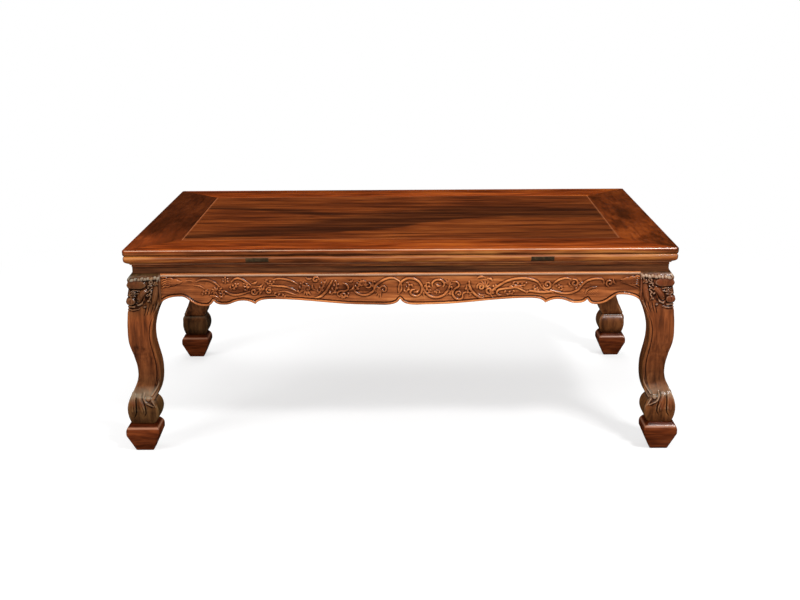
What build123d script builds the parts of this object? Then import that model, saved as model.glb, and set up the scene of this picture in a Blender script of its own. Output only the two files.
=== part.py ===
from build123d import *
import os

# Kang table: a low waisted table. A mitred frame holds a floating panel on two dovetailed battens.
# Under it come a recessed waist, four cusped aprons with square ends, and four cabriole legs whose
# feet stand on separate pads. Millimetres. X runs along the table, Y across it, Z up.
# The origin is on the floor under the middle of the top.
#
# The front and left pieces and the front left corner are drawn; the others are their mirror images.
# "Inset" is a distance inwards from the outermost line of the top.

# ---------------------------------------------------------------- driving dimensions
# Overall
top_length = 800.0
top_depth = 520.0
table_height = 305.0

# Top frame
rail_width = 74.0
rail_thickness = 26.5

# Moulded outer edge of the frame: insets, and depths below its surface
roll_inset = 1.5
roll_belly_depth = 3.8
roll_foot_inset = 2.2
roll_depth = 8.2
quirk_inset = 3.4
quirk_depth = 8.8
ovolo_inset = 1.3
ovolo_depth = 12.0
cyma_inset = 9.6
cyma_depth = 21.4
step_depth = 22.8
under_edge_inset = 12.0

# Floating panel and its tongue
panel_thickness = 12.0
panel_gap = 0.4
panel_tongue_drop = 3.5
panel_tongue_thickness = 5.0
panel_tongue_length = 8.0
groove_end_room = 1.0

# Cross battens under the panel, with through tenons in the long rails
batten_offset = 205.0
batten_width = 33.0
batten_depth = 20.0
batten_tenon_height = 7.0
dovetail_depth = 3.0
dovetail_neck = 22.0
dovetail_flare = 2.0

# Corner joint of the frame: a tenon of the long rail across the mitre
corner_tenon_thickness = 8.0
corner_tenon_drop = 11.0
corner_tenon_width = 38.0
corner_tenon_inset = 22.0
corner_tenon_cover = 12.0

# Waist
waist_height = 10.0
waist_inset = 12.5
waist_thickness = 10.0
tongue_thickness = 4.0
tongue_length = 3.0

# Aprons
apron_inset = 8.5
apron_thickness = 20.0
apron_top_round = 3.0
apron_tenon_length = 12.0
apron_tenon_height = 20.0
apron_tenon_thickness = 8.0
apron_tenon_drop = 8.0

# Lower edge of an apron: drops below its top, and distances from its end or from its middle
apron_end_drop = 42.5
arch_reach = 28.0
arch_drop = 34.0
first_lobe_reach = 64.0
first_lobe_drop = 48.5
first_cusp_reach = 76.0
first_cusp_drop = 40.5
second_lobe_reach = 93.0
second_lobe_drop = 46.5
second_crest_reach = 119.0
second_crest_drop = 40.5
point_reach = 136.5
point_drop = 46.0
third_crest_reach = 161.0
third_crest_drop = 38.5
long_belly_from_middle = 45.0
short_belly_from_middle = 30.0
belly_drop = 47.3
middle_cusp_drop = 38.5

# Keys behind the aprons
long_key_offset = 150.0
key_drop = 32.0
key_thickness = 8.0
key_neck = 12.0
key_flare = 2.0
key_stub_width = 9.0
key_stub_height = 6.0

# Legs: insets, the same from both outer faces
shoulder_width = 53.0
shoulder_top_inset = 12.0
shoulder_inset = 4.6
shoulder_round_drop = 14.0
knee_inset = 2.0
knee_back_inset = 38.0
ankle_inset = 12.0
calf_inset = 45.3
ball_inset = -3.6
ball_back_inset = 42.6
ball_corner_inset = 35.8
ball_foot_inset = 1.0
ball_foot_back_inset = 35.0

# Legs: heights, and how full the curves between them are
ankle_height = 117.0
knee_share = 0.57
ball_height = 36.0
ball_belly_height = 22.0
curve_fullness = 0.42
arris_radius = 2.5

# Leg heads: a post behind the waist, with a long and a short tenon
post_width = 25.0
head_tenon_thickness = 7.0
head_tenon_width = 11.0
head_tenon_margin = 1.5
long_tenon_height = 13.0
short_tenon_height = 6.0

# Foot pads
pad_height = 43.0
pad_center_inset = 17.6
pad_base_width = 26.0
pad_belly_width = 49.2
pad_top_width = 36.0
pad_belly_low = 26.5
pad_belly_high = 32.0
pad_round = 2.0
foot_tenon_width = 14.0
foot_tenon_length = 15.0

# Room left around tongues and tenons
joint_room = 0.15

# ---------------------------------------------------------------- derived sizes and planes
half_length = top_length / 2
half_depth = top_depth / 2
frame_under = table_height - rail_thickness
apron_top = frame_under - waist_height
panel_under = table_height - panel_thickness
panel_half_length = half_length - rail_width
panel_half_depth = half_depth - rail_width
long_apron_half = half_length - shoulder_width
short_apron_half = half_depth - shoulder_width
tongue_inset = waist_inset + (waist_thickness - tongue_thickness) / 2
apron_tenon_inset = apron_inset + (apron_thickness - apron_tenon_thickness) / 2
waist_back_inset = waist_inset + waist_thickness + joint_room
seam_bottom = apron_top - apron_end_drop
knee_height = ankle_height + knee_share * (seam_bottom - ankle_height)

# On these two planes x runs inwards from the table's edge and y runs up
front_edge = Plane(origin=(0, -half_depth, 0), x_dir=(0, 1, 0), z_dir=(1, 0, 0))
left_edge = Plane(origin=(-half_length, 0, 0), x_dir=(1, 0, 0), z_dir=(0, -1, 0))

os.makedirs("parts", exist_ok=True)


# ---------------------------------------------------------------- helpers
def save(part, name):
    """Label a finished piece and write it as its own STEP file."""
    part.label = name
    export_step(part, f"parts/{name}.step")


def twin_of(part, plane):
    """The same piece on the other side of the table."""
    with BuildPart() as twin:
        mirror(part, about=plane)
    return twin.part


def block(x_range, y_range, z_range, mode=Mode.ADD):
    """A box between two corners, for tenons and for the room cut for them."""
    with Locations((sum(x_range) / 2, sum(y_range) / 2, sum(z_range) / 2)):
        Box(
            x_range[1] - x_range[0],
            y_range[1] - y_range[0],
            z_range[1] - z_range[0],
            mode=mode,
        )


def block_along_edge(along, insets, z_range, front, mode=Mode.ADD):
    """A box placed by its stretch along the front or the left edge and by its insets from it."""
    if front:
        block(along, (insets[0] - half_depth, insets[1] - half_depth), z_range, mode)
    else:
        block((insets[0] - half_length, insets[1] - half_length), along, z_range, mode)


def mitred_plan(near_inset, far_inset, front):
    """Plan of a piece that runs along the front or the left edge, mitred at both corners."""
    x_out = half_length - near_inset
    y_out = half_depth - near_inset
    x_in = half_length - far_inset
    y_in = half_depth - far_inset
    with BuildSketch() as plan:
        if front:
            Polygon((-x_out, -y_out), (x_out, -y_out), (x_in, -y_in), (-x_in, -y_in), align=None)
        else:
            Polygon((-x_out, -y_out), (-x_in, -y_in), (-x_in, y_in), (-x_out, y_out), align=None)
    return plan.sketch


# ---------------------------------------------------------------- top frame
def rail_outline():
    """Section of a frame member: a roll, a quirk, an ovolo that sweeps in, and a small step."""
    top = table_height
    roll_foot = (roll_foot_inset, top - roll_depth)
    quirk = (quirk_inset, top - quirk_depth)
    ovolo = (ovolo_inset, top - ovolo_depth)
    cyma = (cyma_inset, top - cyma_depth)
    with BuildLine() as outline:
        ThreePointArc((roll_inset, top), (0, top - roll_belly_depth), roll_foot)
        Line(roll_foot, quirk)
        Spline(quirk, ovolo, cyma, tangents=[(-1, -1), (0, -1), (1, -0.4)])
        Polyline(
            cyma,
            (cyma_inset, top - step_depth),
            (under_edge_inset, top - step_depth),
            (under_edge_inset, frame_under),
            (rail_width, frame_under),
            (rail_width, top),
            (roll_inset, top),
        )
    return outline.line


def panel_groove():
    """Groove for the panel's tongue in a frame member's inner edge."""
    depth = panel_tongue_length + groove_end_room
    height = panel_tongue_thickness + 2 * joint_room
    top = table_height - panel_tongue_drop + joint_room
    with Locations((rail_width - depth, top - height)):
        Rectangle(depth, height, align=Align.MIN, mode=Mode.SUBTRACT)


def waist_groove():
    """Groove for the waist's tongue in a frame member's underside."""
    with Locations((tongue_inset - joint_room, frame_under)):
        Rectangle(
            tongue_thickness + 2 * joint_room,
            tongue_length + joint_room,
            align=Align.MIN,
            mode=Mode.SUBTRACT,
        )


def frame_member(edge, reach, front):
    """A grooved and moulded member along one edge, mitred at both corners."""
    with BuildSketch(edge) as section:
        add(rail_outline())
        make_face()
        panel_groove()
        waist_groove()
    extrude(section.sketch, amount=reach, both=True)
    extrude(mitred_plan(0, rail_width, front), amount=table_height, mode=Mode.INTERSECT)


def corner_tenon(side, room=0.0):
    """Tenon on one end of the front rail, side -1 for its left end or 1 for its right end."""
    root = half_length - rail_width
    tip = half_length - corner_tenon_cover + room
    insets = (corner_tenon_inset - room, corner_tenon_inset + corner_tenon_width + room)
    z_top = table_height - corner_tenon_drop + room
    z_low = table_height - corner_tenon_drop - corner_tenon_thickness - room
    block_along_edge(sorted((side * root, side * tip)), insets, (z_low, z_top), front=True)


def head_tenons(room=0.0):
    """The long and the short tenon on the head of the front left leg."""
    near = waist_back_inset + head_tenon_margin
    far = near + head_tenon_thickness
    wide = far + head_tenon_margin
    end = wide + head_tenon_width
    long_z = (frame_under, frame_under + long_tenon_height + room)
    short_z = (frame_under, frame_under + short_tenon_height + room)
    across = (near - room, far + room)
    along = (wide - room, end + room)
    block_along_edge((along[0] - half_length, along[1] - half_length), across, long_z, front=True)
    block_along_edge((along[0] - half_depth, along[1] - half_depth), across, short_z, front=False)


def batten_mortise(side):
    """Mortise right through the front rail for a batten's tenon."""
    reach = batten_width / 2 + joint_room
    middle = side * batten_offset
    z_low = panel_under - batten_tenon_height - joint_room
    z_range = (z_low, panel_under + joint_room)
    block_along_edge((middle - reach, middle + reach), (0, rail_width), z_range, True, Mode.SUBTRACT)


def key_insets(room):
    """Nearest and furthest inset of a key, which stands close behind the waist."""
    return waist_back_inset - room, waist_back_inset + key_thickness + room


def key_stub(middle, front, room=0.0, mode=Mode.ADD):
    """Stub on top of a key, which stands in the frame."""
    half_width = key_stub_width / 2 + room
    z_range = (frame_under, frame_under + key_stub_height + room)
    along = (middle - half_width, middle + half_width)
    block_along_edge(along, key_insets(room), z_range, front, mode)


with BuildPart() as head_mortises:
    head_tenons(joint_room)

with BuildPart() as corner_mortise:
    corner_tenon(-1, joint_room)

with BuildPart() as long_rail:
    frame_member(front_edge, half_length, front=True)
    for side in (-1, 1):
        corner_tenon(side)
        batten_mortise(side)
        key_stub(side * long_key_offset, True, joint_room, Mode.SUBTRACT)
    add(head_mortises.part, mode=Mode.SUBTRACT)
    mirror(head_mortises.part, about=Plane.YZ, mode=Mode.SUBTRACT)

with BuildPart() as short_rail:
    frame_member(left_edge, half_depth, front=False)
    key_stub(0, False, joint_room, Mode.SUBTRACT)
    for cutter in (head_mortises, corner_mortise):
        add(cutter.part, mode=Mode.SUBTRACT)
        mirror(cutter.part, about=Plane.XZ, mode=Mode.SUBTRACT)

save(long_rail.part, "long_rail_front")
save(twin_of(long_rail.part, Plane.XZ), "long_rail_back")
save(short_rail.part, "short_rail_left")
save(twin_of(short_rail.part, Plane.YZ), "short_rail_right")


# ---------------------------------------------------------------- battens and panel
def dovetail(middle, room=0.0):
    """Section of the dovetail on top of a batten, wider at its top than at its neck."""
    neck = dovetail_neck / 2 + room
    head = neck + dovetail_flare
    top = panel_under + dovetail_depth + room
    with BuildSketch(Plane.XZ) as section:
        Polygon(
            (middle - neck, panel_under),
            (middle + neck, panel_under),
            (middle + head, top),
            (middle - head, top),
            align=None,
        )
    return section.sketch


with BuildPart() as front_half_envelope:
    with BuildSketch(front_edge):
        add(rail_outline())
        make_face()
        with Locations((rail_width, frame_under)):
            Rectangle(panel_half_depth, rail_thickness, align=Align.MIN)
    extrude(amount=half_length, both=True)

with BuildPart() as batten:
    batten_x = (-batten_offset - batten_width / 2, -batten_offset + batten_width / 2)
    block(batten_x, (-half_depth, 0), (panel_under - batten_tenon_height, panel_under))
    add(front_half_envelope.part, mode=Mode.INTERSECT)
    block(batten_x, (-panel_half_depth, 0), (panel_under - batten_depth, panel_under))
    extrude(dovetail(-batten_offset), amount=panel_half_depth)
    mirror(about=Plane.XZ)

with BuildPart() as top_panel:
    with BuildSketch(Plane.XY.offset(panel_under)):
        Rectangle(2 * (panel_half_length - panel_gap), 2 * (panel_half_depth - panel_gap))
    extrude(amount=panel_thickness)
    with BuildSketch(Plane.XY.offset(table_height - panel_tongue_drop - panel_tongue_thickness)):
        Rectangle(
            2 * (panel_half_length + panel_tongue_length),
            2 * (panel_half_depth + panel_tongue_length),
        )
    extrude(amount=panel_tongue_thickness)
    for side in (-1, 1):
        dovetail_slot = dovetail(side * batten_offset, joint_room)
        extrude(dovetail_slot, amount=half_depth, both=True, mode=Mode.SUBTRACT)

save(batten.part, "batten_left")
save(twin_of(batten.part, Plane.YZ), "batten_right")
save(top_panel.part, "top_panel")


# ---------------------------------------------------------------- waist
def waist_tongue(reach, front, room=0.0, mode=Mode.ADD):
    """Tongue under a waist board, which stands in the apron below it."""
    insets = (tongue_inset - room, tongue_inset + tongue_thickness + room)
    z_range = (apron_top - tongue_length - room, apron_top)
    block_along_edge((-reach, reach), insets, z_range, front, mode)


def waist_board(edge, reach, apron_half, front):
    """A board along one edge, mitred at the corners, tongued into the frame and the apron."""
    with BuildSketch(edge) as section:
        with Locations((waist_inset, apron_top)):
            Rectangle(waist_thickness, waist_height, align=Align.MIN)
        with Locations((tongue_inset, frame_under)):
            Rectangle(tongue_thickness, tongue_length, align=Align.MIN)
    extrude(section.sketch, amount=reach, both=True)
    plan = mitred_plan(waist_inset, waist_inset + waist_thickness, front)
    extrude(plan, amount=table_height, mode=Mode.INTERSECT)
    waist_tongue(apron_half - joint_room, front)


with BuildPart() as long_waist:
    waist_board(front_edge, half_length, long_apron_half, front=True)

with BuildPart() as short_waist:
    waist_board(left_edge, half_depth, short_apron_half, front=False)

save(long_waist.part, "waist_front")
save(twin_of(long_waist.part, Plane.XZ), "waist_back")
save(short_waist.part, "waist_left")
save(twin_of(short_waist.part, Plane.YZ), "waist_right")


# ---------------------------------------------------------------- aprons
def lower_edge(half, belly_from_middle, pointed):
    """Cusped lower edge of the left half of an apron, from its end to its middle."""

    def at(reach, drop):
        return reach - half, apron_top - drop

    level = (1, 0)
    end = at(0, apron_end_drop)
    arch = at(arch_reach, arch_drop)
    first_lobe = at(first_lobe_reach, first_lobe_drop)
    first_cusp = at(first_cusp_reach, first_cusp_drop)
    second_lobe = at(second_lobe_reach, second_lobe_drop)
    crest = at(second_crest_reach, second_crest_drop)
    belly = (-belly_from_middle, apron_top - belly_drop)
    middle = (0, apron_top - middle_cusp_drop)
    with BuildLine() as edge:
        Spline(end, arch, first_lobe, tangents=[(1, 1), level, level])
        Spline(first_lobe, first_cusp, tangents=[level, (0.5, 1)])
        Spline(first_cusp, second_lobe, crest, tangents=[(0.5, -1), level, level])
        if pointed:
            point = at(point_reach, point_drop)
            third_crest = at(third_crest_reach, third_crest_drop)
            Spline(crest, point, tangents=[level, (1, -0.6)])
            Spline(point, third_crest, tangents=[(0.6, 1), level])
            crest = third_crest
        Spline(crest, belly, tangents=[level, level])
        Spline(belly, middle, tangents=[level, (0.4, 1)])
    return edge.line


def apron_board(back_plane, half, belly_from_middle, pointed, away):
    """An apron sawn to its cusped lower edge. Its front lies on the far side of its back plane."""
    with BuildSketch(back_plane) as front_view:
        with BuildLine():
            add(lower_edge(half, belly_from_middle, pointed))
            Polyline(
                (0, apron_top - middle_cusp_drop),
                (0, apron_top),
                (-half, apron_top),
                (-half, apron_top - apron_end_drop),
            )
        make_face()
        mirror(about=Plane.YZ)
    extrude(front_view.sketch, amount=apron_thickness)
    top_edges = edges().group_by(Axis.Z)[-1]
    fillet(top_edges.group_by(away)[-1], apron_top_round)


def apron_tenon(half, front, room=0.0, mode=Mode.ADD):
    """Stub tenon on the left end of the front apron, or on the front end of the left one."""
    insets = (apron_tenon_inset - room, apron_tenon_inset + apron_tenon_thickness + room)
    z_top = apron_top - apron_tenon_drop + room
    z_low = apron_top - apron_tenon_drop - apron_tenon_height - room
    along = (-half - apron_tenon_length - room, -half)
    block_along_edge(along, insets, (z_low, z_top), front, mode)


def key_plan(middle, front, room=0.0):
    """Plan of a key at its foot, wider in front than behind, so that it can't pull out."""
    near, far = key_insets(room)
    wide = key_neck / 2 + key_flare + room
    neck = key_neck / 2 + room
    corners = [(middle - wide, near), (middle + wide, near), (middle + neck, far), (middle - neck, far)]
    with BuildSketch(Plane.XY.offset(apron_top - key_drop)) as plan:
        if front:
            Polygon(*[(along, inset - half_depth) for along, inset in corners], align=None)
        else:
            Polygon(*[(inset - half_length, along) for along, inset in corners], align=None)
    return plan.sketch


with BuildPart() as long_apron:
    back_plane = Plane.front.offset(half_depth - apron_inset - apron_thickness)
    apron_board(back_plane, long_apron_half, long_belly_from_middle, True, -Axis.Y)
    waist_tongue(long_apron_half, True, joint_room, Mode.SUBTRACT)
    apron_tenon(long_apron_half, front=True)
    mirror(about=Plane.YZ)
    for side in (-1, 1):
        slot_plan = key_plan(side * long_key_offset, True, joint_room)
        extrude(slot_plan, amount=table_height, mode=Mode.SUBTRACT)

with BuildPart() as short_apron:
    back_plane = Plane.left.offset(half_length - apron_inset - apron_thickness)
    apron_board(back_plane, short_apron_half, short_belly_from_middle, False, -Axis.X)
    waist_tongue(short_apron_half, False, joint_room, Mode.SUBTRACT)
    apron_tenon(short_apron_half, front=False)
    mirror(about=Plane.XZ)
    extrude(key_plan(0, False, joint_room), amount=table_height, mode=Mode.SUBTRACT)

save(long_apron.part, "apron_front")
save(twin_of(long_apron.part, Plane.XZ), "apron_back")
save(short_apron.part, "apron_left")
save(twin_of(short_apron.part, Plane.YZ), "apron_right")


# ---------------------------------------------------------------- keys behind the aprons
def apron_key(middle, front):
    """Dovetailed key, slid down behind the waist and the apron, with its stub in the frame."""
    extrude(key_plan(middle, front), amount=frame_under - apron_top + key_drop)
    key_stub(middle, front)


with BuildPart() as long_key:
    apron_key(-long_key_offset, front=True)

with BuildPart() as short_key:
    apron_key(0, front=False)

save(long_key.part, "apron_key_front_left")
save(twin_of(long_key.part, Plane.YZ), "apron_key_front_right")
save(twin_of(long_key.part, Plane.XZ), "apron_key_back_left")
save(twin_of(twin_of(long_key.part, Plane.YZ), Plane.XZ), "apron_key_back_right")
save(short_key.part, "apron_key_left")
save(twin_of(short_key.part, Plane.YZ), "apron_key_right")


# ---------------------------------------------------------------- legs
def swept_curve(start, end):
    """A curve that leaves its start and meets its end upright."""
    handle = curve_fullness * (start[1] - end[1])
    Bezier(start, (start[0], start[1] - handle), (end[0], end[1] + handle), end)


def leg_outline():
    """One face of a leg: shoulder, knee and ankle, then the ball. The other face is the same."""
    ball_belly = pad_height + ball_belly_height
    ball_top = pad_height + ball_height
    shoulder_top = (shoulder_top_inset, apron_top)
    shoulder = (shoulder_inset, apron_top - shoulder_round_drop)
    knee = (knee_inset, knee_height)
    ankle = (ankle_inset, ankle_height)
    ball = (ball_inset, ball_belly)
    foot = (ball_foot_inset, pad_height)
    back_foot = (ball_foot_back_inset, pad_height)
    back_ball = (ball_back_inset, pad_height + ball_height / 2)
    back_corner = (ball_corner_inset, ball_top)
    calf = (calf_inset, ankle_height)
    back_knee = (knee_back_inset, knee_height)
    seam = (shoulder_width, seam_bottom)
    round_handle = shoulder_round_drop / 2
    heel_handle = (ankle_height - ball_top) / 2
    seam_handle = (seam_bottom - knee_height) / 3
    with BuildLine() as outline:
        Bezier(
            shoulder_top,
            ((shoulder_top_inset + shoulder_inset) / 2, apron_top),
            (shoulder_inset, shoulder[1] + round_handle),
            shoulder,
        )
        swept_curve(shoulder, knee)
        swept_curve(knee, ankle)
        swept_curve(ankle, ball)
        Bezier(ball, (ball_inset, ball_belly - ball_belly_height / 2), foot)
        Line(foot, back_foot)
        ThreePointArc(back_foot, back_ball, back_corner)
        Bezier(
            back_corner,
            (calf_inset - (calf_inset - ball_corner_inset) / 3, ball_top + heel_handle / 2),
            (calf_inset, ankle_height - heel_handle),
            calf,
        )
        swept_curve(back_knee, calf)
        Bezier(
            back_knee,
            (knee_back_inset, knee_height + seam_handle),
            (shoulder_width - seam_handle / 2, seam_bottom - seam_handle / 2),
            seam,
        )
        Polyline(seam, (shoulder_width, apron_top), shoulder_top)
    return outline.line


def leg_head():
    """Post behind the waist, with its two tenons in the frame."""
    post = (waist_back_inset, waist_back_inset + post_width)
    block(
        (post[0] - half_length, post[1] - half_length),
        (post[0] - half_depth, post[1] - half_depth),
        (apron_top, frame_under),
    )
    head_tenons()


def foot_tenon(room=0.0, mode=Mode.ADD):
    """Square tenon from a foot down into its pad."""
    reach = foot_tenon_width / 2 + room
    insets = (pad_center_inset - reach, pad_center_inset + reach)
    block(
        (insets[0] - half_length, insets[1] - half_length),
        (insets[0] - half_depth, insets[1] - half_depth),
        (pad_height - foot_tenon_length - room, pad_height),
        mode,
    )


def sawn_from_two_faces(outline, reach):
    """A solid with one outline on both of its outer faces, drawn with the table's corner at the origin."""
    with BuildPart() as blank:
        with BuildSketch(Plane.XZ):
            add(outline)
            make_face()
        extrude(amount=reach, both=True)
        with BuildSketch(Plane.YZ):
            add(outline)
            make_face()
        extrude(amount=reach, both=True, mode=Mode.INTERSECT)
    return blank.part


def place_at_corner(blank):
    """Put a piece that was drawn at the origin on the front left corner of the table."""
    with Locations((-half_length, -half_depth, 0)):
        add(blank)


with BuildPart() as leg_blank:
    add(sawn_from_two_faces(leg_outline(), 2 * shoulder_width))
    tall_edges = leg_blank.edges().filter_by(lambda edge: edge.bounding_box().size.Z > ball_height / 2)
    fillet(tall_edges.filter_by(lambda edge: edge.center().Z < seam_bottom), arris_radius)

with BuildPart() as leg:
    place_at_corner(leg_blank.part)
    leg_head()
    foot_tenon()
    apron_tenon(long_apron_half, True, joint_room, Mode.SUBTRACT)
    apron_tenon(short_apron_half, False, joint_room, Mode.SUBTRACT)


# ---------------------------------------------------------------- foot pads
def pad_outline():
    """One face of a pad: a small base that spreads to a belly, and a rounded shoulder above it."""

    def half_line(side):
        base = (pad_center_inset + side * pad_base_width / 2, 0)
        low = (pad_center_inset + side * pad_belly_width / 2, pad_belly_low)
        high = (pad_center_inset + side * pad_belly_width / 2, pad_belly_high)
        top = (pad_center_inset + side * pad_top_width / 2, pad_height)
        Line(base, low)
        Line(low, high)
        Bezier(high, (high[0], (pad_belly_high + pad_height) / 2), top)
        return base, top

    with BuildLine() as outline:
        left_base, left_top = half_line(-1)
        right_base, right_top = half_line(1)
        Line(left_base, right_base)
        Line(left_top, right_top)
    return outline.line


with BuildPart() as pad_blank:
    add(sawn_from_two_faces(pad_outline(), 2 * pad_belly_width))
    belly_edges = pad_blank.edges().filter_by(lambda edge: 0 < edge.center().Z < pad_height)
    fillet(belly_edges, pad_round)

with BuildPart() as foot_pad:
    place_at_corner(pad_blank.part)
    foot_tenon(joint_room, Mode.SUBTRACT)


def save_corners(part, name):
    """Write a front left piece and its images at the other three corners."""
    save(part, f"{name}_front_left")
    right = twin_of(part, Plane.YZ)
    save(right, f"{name}_front_right")
    save(twin_of(part, Plane.XZ), f"{name}_back_left")
    save(twin_of(right, Plane.XZ), f"{name}_back_right")


save_corners(leg.part, "leg")
save_corners(foot_pad.part, "foot_pad")
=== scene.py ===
# %% [markdown]
# # A kang table, dressed
# The table's solids come ready made and to size. This lesson gives them their looks: carved aprons,
# legs with an animal's mask and a claw, polished pads, and old oiled wood with its figure running
# along every member. Everything is in metres: X along the table, Y to its back, Z up. CORNER is the
# front left corner of the table's top, and many places are told from it.

# %% Load the table's solids
import math

import bpy
import numpy as np
from mathutils import Matrix, Vector
from mathutils.bvhtree import BVHTree


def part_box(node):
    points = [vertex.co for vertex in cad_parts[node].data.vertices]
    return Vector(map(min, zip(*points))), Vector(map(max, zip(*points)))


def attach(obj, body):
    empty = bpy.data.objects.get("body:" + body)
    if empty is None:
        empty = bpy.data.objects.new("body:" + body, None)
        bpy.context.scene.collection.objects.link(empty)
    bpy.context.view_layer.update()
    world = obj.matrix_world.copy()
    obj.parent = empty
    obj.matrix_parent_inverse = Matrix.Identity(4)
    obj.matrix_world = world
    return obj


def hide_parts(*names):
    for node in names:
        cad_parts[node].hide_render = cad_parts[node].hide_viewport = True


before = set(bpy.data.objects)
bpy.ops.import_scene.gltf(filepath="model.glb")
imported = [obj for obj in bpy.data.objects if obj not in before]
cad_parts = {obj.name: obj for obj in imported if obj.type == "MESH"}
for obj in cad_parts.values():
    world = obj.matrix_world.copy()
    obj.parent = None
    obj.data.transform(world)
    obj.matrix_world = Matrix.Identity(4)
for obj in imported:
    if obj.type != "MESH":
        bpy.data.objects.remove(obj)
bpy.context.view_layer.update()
MM = 0.001
CORNER = Vector((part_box("long_rail_front")[0].x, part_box("long_rail_front")[0].y, 0))
TOP_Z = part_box("top_panel")[1].z
FRAME_WIDTH = 74 * MM
APRON_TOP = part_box("apron_front")[1].z
PAD_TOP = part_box("foot_pad_front_left")[1].z
print("the top is", round(-2 * CORNER.x, 3), "by", round(-2 * CORNER.y, 3), "and", round(TOP_Z, 3), "high")

# %% [markdown]
# ## The camera
# A long lens from a little above, nearly square to the front: the usual way to show a low table.
# The lens is given in pixels of a picture 800 wide. From two metres the table fills two thirds of it.

# %% Camera
PICTURE_WIDTH = 800
FOCAL_PIXELS = 1306.5
CAMERA_PLACE = (0.0198, -2.0876, 0.6946)
PITCH, YAW, ROLL = 0.2487, -0.0109, -0.0078

bpy.ops.object.camera_add(location=CAMERA_PLACE)
camera = bpy.context.object
camera.name = "camera"
camera.data.sensor_width = 36
camera.data.lens = FOCAL_PIXELS * camera.data.sensor_width / PICTURE_WIDTH
heading = Matrix.Rotation(-YAW, 4, "Z") @ Matrix.Rotation(math.pi / 2 - PITCH, 4, "X")
camera.rotation_euler = (heading @ Matrix.Rotation(ROLL, 4, "Z")).to_euler()
bpy.context.scene.camera = camera
bpy.context.scene.view_settings.view_transform = "Standard"
print("lens", round(camera.data.lens, 1), "mm")

# %% [markdown]
# ## Node helpers
# Every finish is a small network of nodes. These helpers add one node each and link it, so that a
# finish reads as a sum: a value is remapped, multiplied and mixed on its way to the shader.


# %% Nodes and links
def add_node(tree, kind, **inputs):
    """A shader node of one kind, with its sockets set by their names."""
    node = tree.nodes.new("ShaderNode" + kind)
    for name, value in inputs.items():
        node.inputs[name.replace("_", " ")].default_value = value
    return node


def new_material(name):
    """An empty material and its tree of nodes."""
    material = bpy.data.materials.new(name)
    material.use_nodes = True
    material.node_tree.nodes.clear()
    return material, material.node_tree


def show(tree, shader, output="OutputMaterial"):
    """Lead a shader to the surface."""
    tree.links.new(shader, add_node(tree, output).inputs["Surface"])


def axes_of(tree, vector):
    """The X, Y and Z of a vector, by name."""
    node = add_node(tree, "SeparateXYZ")
    tree.links.new(vector, node.inputs[0])
    return node.outputs


def length_of(tree, vector):
    """How long a vector is."""
    node = add_node(tree, "VectorMath")
    node.operation = "LENGTH"
    tree.links.new(vector, node.inputs[0])
    return node.outputs["Value"]


# %% Sums with values
def math_node(tree, operation, first, second, clamp=False):
    """A Math node; each input is a socket to link or a number to set."""
    node = tree.nodes.new("ShaderNodeMath")
    node.operation = operation
    node.use_clamp = clamp
    for socket, value in zip(node.inputs, (first, second)):
        if isinstance(value, (int, float)):
            socket.default_value = value
        else:
            tree.links.new(value, socket)
    return node.outputs[0]


def times(tree, first, *others):
    """Values multiplied together."""
    for other in others:
        first = math_node(tree, "MULTIPLY", first, other)
    return first


def most(tree, first, *others):
    """The largest of the values."""
    for other in others:
        first = math_node(tree, "MAXIMUM", first, other)
    return first


def apart(tree, first, second):
    """How far two values are apart."""
    return math_node(tree, "ABSOLUTE", math_node(tree, "SUBTRACT", first, second), 0)


def weighed(tree, *parts):
    """The sum of values, each times its share."""
    total = None
    for value, share in parts:
        part = math_node(tree, "MULTIPLY", value, share)
        total = math_node(tree, "ADD", total, part) if total else part
    return total


# %% Ranges and bands
def remap(tree, value, low, high, to_low=0.0, to_high=1.0, soft=False):
    """Turn the range low to high of a value into another range, and hold it at both ends."""
    node = add_node(tree, "MapRange", From_Min=low, From_Max=high, To_Min=to_low, To_Max=to_high)
    if soft:
        node.interpolation_type = "SMOOTHSTEP"
    tree.links.new(value, node.inputs["Value"])
    return node.outputs[0]


def band(tree, value, rise, fall, top=1.0):
    """A band: it rises from 0 over the first pair of numbers and sinks to 0 over the second."""
    return times(tree, remap(tree, value, *rise), remap(tree, value, *fall, top, 0.0))


# %% [markdown]
# ## Floor, surround and lamps
# The floor is white for the lens and still takes a soft shadow. The surround is white too. A polished
# top seen at a low angle would mirror that white and go milky, so in a studio dark cloth is hung all
# round, out of the picture. Here it is a tent that only the gloss can see. Further out the floor
# shines a little more by itself, so that it runs into the surround without a step.

# %% The floor
FLOOR_SIZE = 12
FLOOR_DROP = 0.2 * MM
FLOOR_OWN_LIGHT = 0.64
FLOOR_TAKES = 0.48
FLOOR_GIVES = 0.40
FADE_START, FADE_END = 0.55, 1.3
FADE_SQUEEZE = (0.85, 1.0, 1.0)


def seen_directly(tree):
    """1 for rays from the lens, off a gloss or through glass, and 0 for all others."""
    rays = add_node(tree, "LightPath").outputs
    return most(tree, rays["Is Camera Ray"], rays["Is Glossy Ray"], rays["Is Transmission Ray"])


def mixed_shader(tree, share, first, second):
    """One shader where the share is 0 and another where it is 1."""
    node = add_node(tree, "MixShader")
    for socket, value in zip(node.inputs, (share, first, second)):
        tree.links.new(value, socket)
    return node.outputs[0]


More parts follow.
